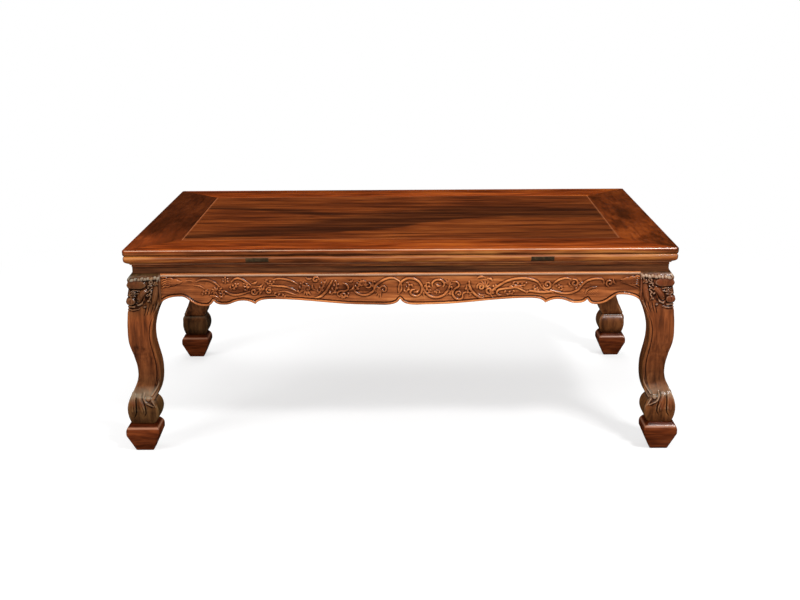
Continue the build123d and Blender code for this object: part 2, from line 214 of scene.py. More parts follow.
bpy.ops.mesh.primitive_plane_add(size=FLOOR_SIZE, location=(0, 0, -FLOOR_DROP))
floor = bpy.context.object
floor.name = "floor"
paint, tree = new_material("floor_white")
lit = add_node(tree, "BsdfDiffuse", Color=(FLOOR_GIVES, FLOOR_GIVES, FLOOR_GIVES, 1)).outputs[0]
seen_lit = add_node(tree, "BsdfDiffuse", Color=(FLOOR_TAKES, FLOOR_TAKES, FLOOR_TAKES, 1)).outputs[0]
own_light = add_node(tree, "Emission", Strength=FLOOR_OWN_LIGHT).outputs[0]
far_light = add_node(tree, "Emission", Strength=1.0).outputs[0]
near = add_node(tree, "AddShader")
tree.links.new(seen_lit, near.inputs[0])
tree.links.new(own_light, near.inputs[1])
flat = add_node(tree, "Mapping", Scale=FADE_SQUEEZE)
tree.links.new(add_node(tree, "TexCoord").outputs["Object"], flat.inputs["Vector"])
fade = remap(tree, length_of(tree, flat.outputs[0]), FADE_START, FADE_END, soft=True)
seen = mixed_shader(tree, fade, near.outputs[0], far_light)
show(tree, mixed_shader(tree, seen_directly(tree), lit, seen))
floor.data.materials.append(paint)
print("the floor is", FLOOR_SIZE, "m wide")

# %% The dark tent
TENT_RADIUS = 4.5
TENT_FOOT = 0.1 * MM
DARK_CLOTH = (0.012, 0.011, 0.010, 1)

bpy.ops.mesh.primitive_uv_sphere_add(segments=48, ring_count=24, radius=TENT_RADIUS, location=(0, 0, 0))
tent = bpy.context.object
bpy.ops.object.mode_set(mode="EDIT")
bpy.ops.mesh.select_all(action="SELECT")
bpy.ops.mesh.bisect(plane_co=(0, 0, TENT_FOOT), plane_no=(0, 0, 1), use_fill=True, clear_inner=True)
bpy.ops.object.mode_set(mode="OBJECT")
tent.name = "dark_tent"
paint, tree = new_material("dark_cloth")
show(tree, add_node(tree, "BsdfDiffuse", Color=DARK_CLOTH).outputs[0])
tent.data.materials.append(paint)
tent.visible_camera = False
tent.visible_diffuse = False
tent.visible_shadow = False
tent.visible_transmission = False
print("the tent has", len(tent.data.polygons), "faces")

# %% [markdown]
# The world is a plain white that fills the shadows. One small lamp in front on the right gives the
# highlights. The three broad lamps only light the wood, because the gloss doesn't see them.

# %% World and lamps
AMBIENT = 0.40
LAMP_AIM = Vector((0, 0, 0.2))

world = bpy.context.scene.world or bpy.data.worlds.new("surround")
bpy.context.scene.world = world
world.use_nodes = True
tree = world.node_tree
tree.nodes.clear()
sky = add_node(tree, "Background", Color=(1, 1, 1, 1))
tree.links.new(remap(tree, seen_directly(tree), 0.0, 1.0, AMBIENT, 1.0), sky.inputs["Strength"])
show(tree, sky.outputs[0], "OutputWorld")


def softbox(name, place, size, watts):
    """A rectangular lamp at a place, turned to face the middle of the table."""
    bpy.ops.object.light_add(type="AREA", location=place)
    lamp = bpy.context.object
    lamp.name = name
    lamp.data.shape = "RECTANGLE"
    lamp.data.size, lamp.data.size_y = size
    lamp.data.energy = watts
    lamp.rotation_euler = (LAMP_AIM - Vector(place)).to_track_quat("-Z", "Y").to_euler()
    return lamp


softbox("lamp_key", (1.2, -1.9, 2.3), (0.5, 0.4), 54)
for lamp in (
    softbox("lamp_overhead", (-0.35, 0.85, 2.1), (1.8, 1.3), 16),
    softbox("lamp_fill", (-1.7, -1.8, 1.6), (1.0, 0.8), 28),
    softbox("lamp_back", (0.4, 2.2, 1.9), (1.6, 0.6), 8),
):
    lamp.visible_glossy = False
print("four lamps")

# %% [markdown]
# ## The wood
# Old oiled rosewood is never one colour. Its figure is stretched along the board: broad dark veins,
# finer streaks between them, and short open pores that catch the light. The pattern is worked out in
# three dimensions from Object coordinates, so it runs over edges as it does in a real board. On
# carved pieces the hollows are darker, with old wax and painted shade, and the high parts are lighter,
# rubbed and with a painted highlight.


# %% Colours
def tone(red, green, blue):
    """A colour read off a colour chart (0 to 255), turned into the linear one that shaders use."""
    linear = [((c / 255 + 0.055) / 1.055) ** 2.4 if c > 10 else c / 255 / 12.92 for c in (red, green, blue)]
    return (*linear, 1)


def ramp(tree, value, stops):
    """A colour ramp from (position, colour) pairs."""
    node = tree.nodes.new("ShaderNodeValToRGB")
    colours = node.color_ramp.elements
    while len(colours) < len(stops):
        colours.new(0.5)
    for element, (position, colour) in zip(colours, stops):
        element.position = position
        element.color = colour
    tree.links.new(value, node.inputs["Fac"])
    return node.outputs["Color"]


COLOUR_A, COLOUR_B, COLOUR_OUT = 6, 7, 2


def mix(tree, kind, amount, first, second):
    """Mix two colours; any of the three inputs is a socket to link or a value to set."""
    node = tree.nodes.new("ShaderNodeMix")
    node.data_type = "RGBA"
    node.blend_type = kind
    sockets = (node.inputs["Factor"], node.inputs[COLOUR_A], node.inputs[COLOUR_B])
    for socket, value in zip(sockets, (amount, first, second)):
        if isinstance(value, bpy.types.NodeSocket):
            tree.links.new(value, socket)
        else:
            socket.default_value = value
    return node.outputs[COLOUR_OUT]


# %% Patterns along the grain
GRAIN_TURN = {"X": (0, 0, 0), "Y": (0, 0, math.pi / 2), "Z": (0, math.pi / 2, 0)}


def stretched(tree, place, grain, along, across, shift=(0, 0, 0)):
    """Object coordinates turned so that the grain runs along x, then stretched along it."""
    turned = add_node(tree, "Mapping", Rotation=GRAIN_TURN[grain], Location=shift)
    scaled = add_node(tree, "Mapping", Scale=(along, across, across))
    tree.links.new(place, turned.inputs["Vector"])
    tree.links.new(turned.outputs[0], scaled.inputs["Vector"])
    return scaled.outputs[0]


def noise(tree, where, scale=1.0, detail=3.0, roughness=0.55, distortion=0.0):
    """Soft noise, from 0 to 1."""
    node = add_node(
        tree, "TexNoise", Scale=scale, Detail=detail, Roughness=roughness, Distortion=distortion
    )
    tree.links.new(where, node.inputs["Vector"])
    return node.outputs["Fac"]


def attribute(tree, name):
    """One of the skin's own values."""
    node = add_node(tree, "Attribute")
    node.attribute_name = name
    return node.outputs["Fac"]


# %% [markdown]
# One function makes every wood on the table. Three noises of different fineness are weighed into the
# figure, and a ramp colours it. Flecks and pores darken it. What is special to a piece comes in as a
# function: veins for the panel, and marks for wear, wax and rubbed edges.

# %% Oiled wood
FIGURE_CONTRAST = (0.34, 0.66)
FLECK_STRETCH, FLECK_TINT = (18, 280), (0.50, 0.42, 0.38, 1)
PORE_STRETCH, PORE_TINT = (45, 1500), (0.35, 0.28, 0.25, 1)
PORE_BUMP = 0.2 * MM
VEIN_TONE = tone(53, 25, 12)
# By how hollow a carving is: old wax and painted shade in the hollows, wear and painted highlight on ridges.
WAX_SHADE_AND_HIGHLIGHT = [
    (0.0, (0.12, 0.09, 0.07, 1)), (0.26, (0.34, 0.29, 0.26, 1)), (0.42, (0.86, 0.84, 0.82, 1)),
    (0.5, (1, 1, 1, 1)), (0.62, (1.10, 1.14, 1.18, 1)), (0.85, (1.45, 1.65, 1.85, 1)),
]


def wood(
    name, colours, grain="X", along=1.5, across=22, swirl=0.5, rough=0.40, coat=0.45,
    shift=(0, 0, 0), veins=None, marks=None, carved=False,
):
    """Oiled wood in a dark, a middle and a light tone. veins darkens by place, marks recolours by place."""
    dark, middle_tone, light = colours
    material, tree = new_material(name)
    place = add_node(tree, "TexCoord").outputs["Object"]

    def figure(stretch_along, stretch_across, detail, twist):
        where = stretched(tree, place, grain, stretch_along, stretch_across, shift)
        return remap(tree, noise(tree, where, 1.0, detail, 0.6, twist), *FIGURE_CONTRAST)

    broad = figure(along, across * 0.42, 4.0, swirl)
    streaks = figure(along * 2.2, across * 2.8, 3.0, 0.15)
    lines = figure(along * 7, across * 9, 2.0, 0.0)
    mixed = weighed(tree, (broad, 0.34), (streaks, 0.36), (lines, 0.30))
    colour = ramp(tree, mixed, [(0.22, dark), (0.50, middle_tone), (0.78, light)])
    if veins:
        colour = mix(tree, "MIX", veins(tree, place, streaks), colour, VEIN_TONE)
    flecks = noise(tree, stretched(tree, place, grain, *FLECK_STRETCH, shift), 1.0, 2.0, 0.5)
    colour = mix(tree, "MULTIPLY", remap(tree, flecks, 0.57, 0.66, 0.0, 0.55), colour, FLECK_TINT)
    pores = noise(tree, stretched(tree, place, grain, *PORE_STRETCH, shift), 1.0, 1.0, 0.5)
    pore_depth = remap(tree, pores, 0.60, 0.72)
    colour = mix(tree, "MULTIPLY", times(tree, pore_depth, 0.45), colour, PORE_TINT)
    if carved:
        # Darker in the hollows, with old wax and painted shade; paler on ridges, with wear and painted
        # highlight.
        hollow = attribute(tree, "hollow")
        colour = mix(tree, "MULTIPLY", 1.0, colour, ramp(tree, hollow, WAX_SHADE_AND_HIGHLIGHT))
    if marks:
        colour = marks(tree, place, colour)
    shader = add_node(tree, "BsdfPrincipled", Coat_Weight=coat, Coat_Roughness=0.16)
    shader.inputs["Specular IOR Level"].default_value = 0.2
    bump = add_node(tree, "Bump", Strength=0.25, Distance=PORE_BUMP)
    for start, end in (
        (colour, shader.inputs["Base Color"]),
        (remap(tree, streaks, 0.0, 1.0, rough - 0.06, rough + 0.08), shader.inputs["Roughness"]),
        (math_node(tree, "SUBTRACT", times(tree, lines, 0.5), pore_depth), bump.inputs["Height"]),
        (bump.outputs[0], shader.inputs["Normal"]),
    ):
        tree.links.new(start, end)
    show(tree, shader.outputs[0])
    return material


# %% [markdown]
# The panel is one wide board. Its dark heart runs from the front left corner to the back right, sharp
# along its front edge and fading to the back, and a shorter vein joins it from the left. Both are drawn
# by curves that give a vein's edge for every place along the board.

# %% The veins' edges
BOARD_REACH = 0.36
HEART_FRONT = (
    (-0.35, -0.190), (-0.23, -0.166), (-0.15, -0.148), (-0.06, -0.120), (0.0, -0.092), (0.08, -0.037),
    (0.16, -0.014), (0.26, -0.022), (0.35, -0.016),
)
HEART_BACK = (
    (-0.35, -0.126), (-0.23, -0.082), (-0.16, -0.040), (-0.08, 0.022), (0.0, 0.064), (0.13, 0.107),
    (0.26, 0.088), (0.35, 0.080),
)
SIDE_VEIN = (
    (-0.35, 0.090), (-0.27, 0.082), (-0.22, 0.064), (-0.16, 0.040), (-0.10, 0.012), (0.35, -0.05),
)


def edge_line(tree, x, points):
    """A smooth line along the board: y for every x, through a few points."""
    node = add_node(tree, "FloatCurve")
    curve = node.mapping.curves[0]
    while len(curve.points) < len(points):
        curve.points.new(0.5, 0.5)
    for knot, (px, py) in zip(curve.points, points):
        knot.location = (0.5 + px / (2 * BOARD_REACH), 0.5 + py / (2 * BOARD_REACH))
    node.mapping.update()
    tree.links.new(remap(tree, x, -BOARD_REACH, BOARD_REACH), node.inputs["Value"])
    return remap(tree, node.outputs[0], 0.0, 1.0, -BOARD_REACH, BOARD_REACH)


# %% [markdown]
# A vein's edge is never a clean line: two noises push it to and fro, one wide and one as fine as
# flames. A small knot sits in the left half, and dusky flames run through the right half.

# %% The panel's veins
HEART_SHARE = 0.84
EDGE_SWAY = 0.05
KNOT = (-0.145, -0.020)
KNOT_SQUASH = 1.5


def panel_veins(tree, place, streaks):
    """How dark the panel is: 1 in the middle of a vein and 0 away from it."""
    axes = axes_of(tree, place)
    x = axes["X"]
    sway = noise(tree, stretched(tree, place, "X", 5.0, 16.0, (0.3, 0, 0)), 1.0, 3.0, 0.6, 0.8)
    flames = noise(tree, stretched(tree, place, "X", 6.0, 70.0, (0.1, 0, 0)), 1.0, 4.0, 0.65, 0.4)
    ragged = [(remap(tree, pattern, 0.0, 1.0, -0.5, 0.5), EDGE_SWAY) for pattern in (sway, flames)]
    y = weighed(tree, (axes["Y"], 1.0), *ragged)
    behind = math_node(tree, "SUBTRACT", y, edge_line(tree, x, HEART_FRONT))
    before = math_node(tree, "SUBTRACT", edge_line(tree, x, HEART_BACK), y)
    heart = times(tree, remap(tree, behind, -0.003, 0.006), remap(tree, before, -0.010, 0.040), HEART_SHARE)
    off = apart(tree, y, edge_line(tree, x, SIDE_VEIN))
    side = times(
        tree, remap(tree, off, 0.006, 0.030, 1.0, 0.0, soft=True), remap(tree, x, -0.15, 0.02, 0.75, 0.0)
    )
    centre = (-KNOT[0], -KNOT[1] * KNOT_SQUASH, -TOP_Z)
    about_knot = add_node(tree, "Mapping", Location=centre, Scale=(1.0, KNOT_SQUASH, 1.0))
    tree.links.new(place, about_knot.inputs["Vector"])
    away = length_of(tree, about_knot.outputs[0])
    burl = noise(tree, stretched(tree, place, "X", 45.0, 120.0), 1.0, 3.0, 0.6, 1.6)
    knotty = times(tree, remap(tree, burl, 0.46, 0.62), remap(tree, away, 0.03, 0.09, 0.6, 0.0))
    dusky = times(tree, remap(tree, x, 0.06, 0.20, 0.0, 0.5), remap(tree, flames, 0.40, 0.60))
    darkest = most(tree, heart, side, knotty, dusky)
    return math_node(tree, "MULTIPLY", darkest, remap(tree, streaks, 0.0, 1.0, 1.0, 0.72), clamp=True)


# %% [markdown]
# Edges that hands and cloths pass over are rubbed pale and carry a painted highlight, the quirks between
# mouldings get painted shade, and the rounds painted light. On the frame all follow the moulding's height,
# so they are bands of depth below the top. The long top arris, rubbed where the polish has gone, carries
# the palest painted highlight on the table. The panel's rim carries a painted highlight too.

# %% Rubbed edges with painted highlights, painted shade in the quirks
half_x, half_y = -CORNER.x, -CORNER.y
# A pale rubbed tone that carries the painted highlights on edges and beads.
RUB_AND_HIGHLIGHT = (0.78, 0.50, 0.33, 1)
MOULDING_DEPTH = 27.0
# Brightness down the moulding by depth: painted shade in the quirks and painted light on the rounds.
MOULDING_SHADE_AND_LIGHT = (
    (0.0, 1.0), (2.2, 1.0), (3.4, 0.80), (4.9, 1.1), (6.4, 0.95), (7.4, 0.55), (8.9, 0.55), (9.8, 1.1),
    (12.6, 1.25), (14.5, 1.15), (17.0, 1.35), (18.8, 1.1), (19.8, 0.75), (20.6, 0.9), (21.4, 1.9),
    (23.4, 1.1),
)
# Pale bands on the moulding's rounds: rubbed, and painted highlight.
EDGE_RUB_AND_HIGHLIGHT = (
    (0.0, 0.0), (10.6, 0.0), (11.4, 0.18), (12.2, 0.18), (13.0, 0.0), (21.0, 0.0), (21.6, 0.25),
    (22.6, 0.0),
)
FLAT_DEPTH = 3
# The flat top's cast is warm; the moulding's paler, greyer cast is painted sheen.
FLAT_CAST, MOULDING_SHEEN_CAST = (1.18, 1.04, 0.6), (1.0, 1.35, 1.7)


def beyond(tree, place, reach_x, reach_y):
    """How many millimetres a place lies beyond a rectangle about the table's middle."""
    axes = axes_of(tree, place)
    past = [
        math_node(tree, "SUBTRACT", apart(tree, axes[axis], 0), reach)
        for axis, reach in (("X", reach_x), ("Y", reach_y))
    ]
    return times(tree, most(tree, *past), 1 / MM)


def below(tree, place, height):
    """How many millimetres a place lies below a height."""
    return times(tree, math_node(tree, "SUBTRACT", height, axes_of(tree, place)["Z"]), 1 / MM)


# %% [markdown]
# The flat top is warm and the moulding paler and greyer, as painted sheen, so the bands carry a cast.
# Painted light makes the front end of the left short rail a lighter brown; the right one's hardly changes.


# %% Marks of the frame and the panel
def rail_marks(tree, place, colour):
    """Painted shade in quirks, painted light and sheen on the moulding, painted highlight on the arris."""
    past, depth = beyond(tree, place, half_x, half_y), below(tree, place, TOP_Z)
    share = remap(tree, depth, 0.0, MOULDING_DEPTH)
    wax = []
    for mm, value in MOULDING_SHADE_AND_LIGHT:
        cast = FLAT_CAST if mm < FLAT_DEPTH else MOULDING_SHEEN_CAST
        wax.append((mm / MOULDING_DEPTH, (*(value * part for part in cast), 1)))
    rub_and_highlight = [(mm / MOULDING_DEPTH, (value, value, value, 1)) for mm, value in EDGE_RUB_AND_HIGHLIGHT]
    # Painted shade in the quirks and painted light on the rounds, by the moulding's depth.
    colour = mix(tree, "MULTIPLY", 1.0, colour, ramp(tree, share, wax))
    # Pale bands on the rounds: rubbed, and painted highlight.
    colour = mix(tree, "MIX", ramp(tree, share, rub_and_highlight), colour, RUB_AND_HIGHLIGHT)
    # The top arris: rubbed wood with a painted highlight, broken up by noise.
    arris = times(tree, remap(tree, past, -1.5, -1.0), remap(tree, depth, 0.9, 1.6, 1.0, 0.0))
    worn = remap(tree, noise(tree, place, 30.0, 2.0), 0.35, 0.65, 0.6, 0.95)
    return mix(tree, "MIX", times(tree, arris, worn), colour, RUB_AND_HIGHLIGHT)


def short_rail_marks(tree, place, colour):
    """A short rail's marks: those of the frame, and painted light on the end where it meets the front."""
    axes = axes_of(tree, place)
    # Painted light on the front end of the short rails, mostly the left one.
    front_light = remap(tree, axes["Y"], -0.215, -0.07, 1.0, 0.0, soft=True)
    front_light = times(tree, front_light, remap(tree, axes["X"], -0.1, 0.1, 1.0, 0.05))
    colour = mix(tree, "MIX", front_light, colour, mix(tree, "MULTIPLY", 1.0, colour, (2.3, 2.1, 1.7, 1)))
    return rail_marks(tree, place, colour)


def panel_rim_highlight(tree, place, colour):
    """The panel's rim, with a painted highlight."""
    past = beyond(tree, place, half_x - FRAME_WIDTH, half_y - FRAME_WIDTH)
    # Painted highlight round the panel's rim.
    return mix(tree, "MIX", remap(tree, past, -3.4, -1.4, 0.0, 0.55), colour, tone(196, 116, 72))


# %% [markdown]
# The carved parts of a leg have gone darker than the plain knee: there is an olive cast of old wax on
# the mask and on the ball. The bottom of the ball, where it stands on the pad, and the leg's top above
# the roll, under the waist, get painted shade, and so do the left legs at the mask and the ball. Heights
# are in metres from the floor, and each has what it multiplies the wood's red, green and blue by.

# %% Old wax and painted shade by height
LEG_REACH = 0.27
# Old wax, with painted shade at the bottom of the ball and on the leg's top above the roll.
WAX_AND_SHADE_BY_HEIGHT = (
    (0.000, (0.38, 0.42, 0.38)), (0.043, (0.38, 0.42, 0.38)), (0.055, (0.82, 1.06, 1.12)),
    (0.076, (0.88, 1.05, 1.10)), (0.094, (0.75, 0.95, 1.1)), (0.106, (0.46, 0.57, 0.64)),
    (0.130, (0.71, 0.74, 0.73)), (0.165, (0.90, 0.92, 0.90)), (0.206, (1.02, 1.02, 1.0)),
    (0.218, (0.74, 0.76, 0.76)), (0.257, (0.66, 0.72, 0.76)), (0.261, (0.85, 1.0, 1.2)),
    (0.265, (0.80, 0.9, 1.0)), (0.267, (0.34, 0.48, 0.54)),
)
# Painted shade on the left legs, at the ball and the mask.
LEFT_PAINTED_SHADE = (
    (0.070, (0.54, 0.66, 0.70)), (0.084, (1.0, 1.0, 1.0)), (0.200, (1.0, 1.0, 1.0)),
    (0.222, (0.74, 0.97, 1.08)),
)
LEFT_TO_RIGHT = (-0.1, 0.1)
INNER_PAINTED_LIGHT = (1.15, 1.40, 1.45, 1)


def factors_by_height(tree, z, table):
    """The factors of a table for every height on a leg."""
    stops = [(height / LEG_REACH, (*factors, 1)) for height, factors in table]
    return ramp(tree, remap(tree, z, 0.0, LEG_REACH), stops)


def leg_wax_shade_and_light(tree, axes, slope, colour):
    """Old wax and painted shade on a leg by its height, and painted light on the faces that look inward."""
    colour = mix(tree, "MULTIPLY", 1.0, colour, factors_by_height(tree, axes["Z"], WAX_AND_SHADE_BY_HEIGHT))
    # Painted light on the faces that look inward.
    facing = remap(tree, times(tree, slope["X"], axes["X"]), -0.32, -0.14, 0.8, 0.0)
    inner = times(tree, facing, remap(tree, axes["Z"], 0.196, 0.222, 1.0, 0.0))
    return mix(tree, "MULTIPLY", inner, colour, INNER_PAINTED_LIGHT)


# %% [markdown]
# The smooth masses of the mask are polished in patches, and a painted sheen lies over the ankle, where
# the wood slopes upward. Ridges of the carving get painted glints, and dust with painted glints lies on
# the roll of curls at the top. The glints are painted brighter on the right legs than on the left ones.

# %% Polish, dust, and painted sheen and glints on a leg
# The tone of the painted sheen over the ankle.
ANKLE_SHEEN_TONE = tone(146, 128, 104)
GLINT_TONE = tone(196, 168, 142)
POLISH_TONE = tone(128, 62, 32)
ANKLE_BAND = (0.074, 0.083), (0.090, 0.100)
CLAW_BAND = (0.060, 0.070), (0.100, 0.108)
ROLL_BAND = (0.2575, 0.2595), (0.2655, 0.2670)
MASK_RISE = (0.214, 0.220)


def leg_marks(tree, place, colour):
    """A leg's old wax and painted shade, the polish on its masses, and its painted sheen and glints."""
    axes, slope = axes_of(tree, place), axes_of(tree, add_node(tree, "TexCoord").outputs["Normal"])
    x, z = axes["X"], axes["Z"]
    polish, ridge = attribute(tree, "polish"), attribute(tree, "hollow")
    mottle = noise(tree, place, 120.0, 3.0, 0.6)
    colour = leg_wax_shade_and_light(tree, axes, slope, colour)
    rubbed = times(tree, polish, remap(tree, mottle, 0.38, 0.62, 0.15, 0.75))
    colour = mix(tree, "MIX", rubbed, colour, POLISH_TONE)
    # Painted sheen over the ankle, on the slopes that face up.
    ankle_sheen = times(tree, band(tree, z, *ANKLE_BAND), remap(tree, slope["Z"], 0.10, 0.5, 0.0, 0.7))
    ankle_sheen = times(tree, ankle_sheen, remap(tree, x, *LEFT_TO_RIGHT, 1.05, 0.65))
    colour = mix(tree, "MIX", ankle_sheen, colour, ANKLE_SHEEN_TONE)
    # Painted light: the glints are brighter on the right legs, in patches.
    lit_patches = times(
        tree, remap(tree, x, *LEFT_TO_RIGHT, 0.7, 1.35), remap(tree, mottle, 0.36, 0.56, 0.35, 1.0)
    )
    carved = most(tree, remap(tree, z, *MASK_RISE), band(tree, z, *CLAW_BAND))
    bare = times(tree, carved, remap(tree, polish, 0.0, 0.6, 1.0, 0.15))
    glint = times(tree, bare, remap(tree, ridge, 0.80, 1.0, 0.0, 0.42), lit_patches)
    colour = mix(tree, "MIX", glint, colour, GLINT_TONE)
    # Dust on the roll of curls, with painted glints.
    dust_and_glints = times(tree, band(tree, z, *ROLL_BAND), remap(tree, ridge, 0.45, 0.85, 0.05, 0.62), lit_patches)
    colour = mix(tree, "MIX", dust_and_glints, colour, GLINT_TONE)
    # Painted shade on the left legs.
    shaded_left = remap(tree, x, *LEFT_TO_RIGHT, 1.0, 0.0)
    return mix(tree, "MULTIPLY", shaded_left, colour, factors_by_height(tree, z, LEFT_PAINTED_SHADE))


# %% [markdown]
# The top bead of an apron is rubbed like the frame and carries a painted highlight. A pad has a rubbed
# line with a painted highlight along its upper bevel, and painted shade where the ball stands on it.

# %% Marks of the aprons and the pads
PAD_ARRIS = 37.5 * MM
# A pad's rubbed bevel with a painted highlight, and painted shade under the ball.
PAD_RUB_AND_HIGHLIGHT = tone(214, 156, 124)
PAD_SHADE = (0.42, 0.34, 0.28, 1)


def apron_bead_highlight(tree, place, colour):
    """The top bead of an apron, rubbed and with a painted highlight."""
    depth = below(tree, place, APRON_TOP)
    # The top bead is rubbed and carries a painted highlight.
    return mix(tree, "MIX", band(tree, depth, (0.9, 1.6), (3.3, 4.2), 0.85), colour, RUB_AND_HIGHLIGHT)


def pad_highlight_and_shade(tree, place, colour):
    """A pad's rubbed upper bevel with a painted highlight, and painted shade where the ball stands on it."""
    z = axes_of(tree, place)["Z"]
    # A rubbed line with a painted highlight along the upper bevel.
    rubbed = remap(tree, apart(tree, z, PAD_ARRIS), 0.3 * MM, 2.2 * MM, 0.5, 0.0)
    colour = mix(tree, "MIX", rubbed, colour, PAD_RUB_AND_HIGHLIGHT)
    # Painted shade where the ball stands on the pad.
    contact_shade = remap(tree, z, PAD_TOP - 5 * MM, PAD_TOP - 1.5 * MM)
    return mix(tree, "MULTIPLY", contact_shade, colour, PAD_SHADE)


# %% [markdown]
# Now every kind of piece gets its own wood: three tones, the way its grain runs, how far the figure is
# stretched along and across it, and its marks. The frame and the pads are the reddest, the waist is
# dull, the left short rail is darker than the right by painted shade and light, and the battens' ends
# are grey end grain.

# %% One finish for each kind of piece
frame_tones = (tone(88, 36, 10), tone(144, 64, 22), tone(184, 98, 38))
# The short rails share one wood: painted shade on the left one, painted light on the right one.
left_shaded_tones = (tone(66, 30, 14), tone(82, 37, 17), tone(98, 47, 22))
right_lit_tones = (tone(78, 36, 15), tone(116, 54, 21), tone(142, 71, 29))
panel_tones = (tone(84, 36, 13), tone(130, 60, 20), tone(166, 87, 32))
waist_tones = (tone(54, 28, 12), tone(88, 48, 23), tone(116, 65, 31))
apron_tones = (tone(118, 60, 28), tone(180, 100, 50), tone(212, 130, 70))
leg_tones = (tone(80, 38, 16), tone(130, 66, 30), tone(160, 86, 42))
pad_tones = (tone(76, 30, 8), tone(114, 50, 18), tone(140, 68, 28))
batten_tones = (tone(48, 38, 24), tone(70, 54, 34), tone(92, 70, 44))

finishes = {
    "frame_wood": wood("long_rail_wood", frame_tones, "X", 2.6, 26, 0.4, marks=rail_marks),
    "panel_wood": wood(
        "panel_wood", panel_tones, "X", 2.0, 20, 0.5, shift=(0.2, 0, 0), veins=panel_veins, marks=panel_rim_highlight
    ),
    "leg_wood": wood("leg_wood", leg_tones, "Z", 3.0, 26, 0.7, carved=True, marks=leg_marks),
    "pad_wood": wood("pad_wood", pad_tones, "X", 6.0, 30, 0.5, rough=0.34, coat=0.3, marks=pad_highlight_and_shade),
    "batten_wood": wood("batten_wood", batten_tones, "Y", 2.0, 40, 0.3, rough=0.6, coat=0.0),
}
for side, tones in (("left", left_shaded_tones), ("right", right_lit_tones)):
    finishes["short_rail_" + side] = wood(
        "short_rail_wood_" + side, tones, "Y", 4.0, 10, 1.4, shift=(0.55, 0.1, 0), marks=short_rail_marks
    )
for run, grain in (("long", "X"), ("short", "Y")):
    finishes["waist_" + run] = wood(
        "waist_wood_" + run, waist_tones, grain, 2.2, 46, 0.4, rough=0.5, coat=0.1
    )
    finishes["apron_" + run] = wood(
        "apron_wood_" + run, apron_tones, grain, 2.4, 24, 0.8, carved=True, marks=apron_bead_highlight
    )
print(len(finishes), "finishes")


# %% Every node gets its wood
def finish_of(node):
    """The finish that a node takes, by its name."""
    if node.startswith("short_rail"):
        return node
    if node.startswith("long_rail"):
        return "frame_wood"
    if node.startswith(("waist", "apron")) and "key" not in node:
        side = "long" if node.endswith(("front", "back")) else "short"
        return node.split("_")[0] + "_" + side
    if node.startswith("leg"):
        return "leg_wood"
    if node.startswith("foot_pad"):
        return "pad_wood"
    if node == "top_panel":
        return "panel_wood"
    return "batten_wood"


for name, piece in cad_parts.items():
    piece.data.materials.clear()
    piece.data.materials.append(finishes[finish_of(name)])
print(len(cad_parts), "nodes have their wood")

# %% [markdown]
# ## Carving tools
# A carver starts from the sawn blank, sets the ground back, and leaves the ornament standing. Here the
# blank is a copy of the ready solid. Its face is set back, ribbons and drops are laid on it, and a
# fine voxel remesh grows one skin over all of it, as if cut from one board. Boolean unions would leave
# hard creases and often fail on so many forms. Cut lines come last: a gouge pushes the skin in.


# %% Selecting and copying
def only(*pieces):
    """Select these objects and nothing else; the first one is active."""
    bpy.ops.object.select_all(action="DESELECT")
    for piece in pieces:
        piece.select_set(True)
    bpy.context.view_layer.objects.active = pieces[0]


def blank_from(node, name):
    """A copy of a ready solid, with its loose triangles merged into one closed skin."""
    piece = bpy.data.objects.new(name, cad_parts[node].data.copy())
    bpy.context.collection.objects.link(piece)
    only(piece)
    bpy.ops.mesh.customdata_custom_splitnormals_clear()
    bpy.ops.object.mode_set(mode="EDIT")
    bpy.ops.mesh.select_all(action="SELECT")
    bpy.ops.mesh.remove_doubles(threshold=0.00001)
    bpy.ops.object.mode_set(mode="OBJECT")
    return piece


# %% Modifiers and skins
def apply_modifier(piece, kind, **settings):
    """Add a modifier, set it up and apply it."""
    only(piece)
    modifier = piece.modifiers.new(kind.lower(), kind)
    for name, value in settings.items():
        setattr(modifier, name, value)
    bpy.ops.object.modifier_apply(modifier=modifier.name)


def grow_skin(piece, forms, voxel):
    """Join the forms to the piece and grow one skin over them all."""
    only(piece, *forms)
    if forms:
        bpy.ops.object.join()
    apply_modifier(piece, "REMESH", mode="VOXEL", voxel_size=voxel)
    apply_modifier(piece, "SMOOTH", factor=0.5, iterations=1)


def thin_out(piece, triangles):
    """Drop triangles where the skin is flat, down to a number, and shade it smooth."""
    now = 2 * len(piece.data.polygons)
    if now > triangles:
        apply_modifier(piece, "DECIMATE", ratio=triangles / now)
    only(piece)
    bpy.ops.object.shade_smooth()
    print(piece.name, "had", now, "triangles and has", len(piece.data.polygons), "faces")


# %% Places and normals
def skin_arrays(piece):
    """Every vertex's place and normal, as arrays."""
    mesh = piece.data
    places = np.zeros(len(mesh.vertices) * 3)
    normals = np.zeros(len(mesh.vertices) * 3)
    mesh.vertices.foreach_get("co", places)
    mesh.vertex_normals.foreach_get("vector", normals)
    return places.reshape(-1, 3), normals.reshape(-1, 3)


def set_places(piece, places):
    """Move every vertex to its new place."""
    piece.data.vertices.foreach_set("co", places.ravel())
    piece.data.update()


# %% The gouge
def away_from_line(places, line):
    """How far each place is from a line of points, and at which share of the line it is nearest."""
    nearest = np.full(len(places), np.inf)
    share_there = np.zeros(len(places))
    for index, (start, end) in enumerate(zip(line[:-1], line[1:])):
        start, run = np.array(start), np.array(end) - np.array(start)
        share = np.clip((places - start) @ run / max(run @ run, 1e-12), 0, 1)
        gap = np.linalg.norm(places - start - share[:, None] * run, axis=1)
        closer = gap < nearest
        nearest[closer] = gap[closer]
        share_there[closer] = (index + share[closer]) / (len(line) - 1)
    return nearest, share_there


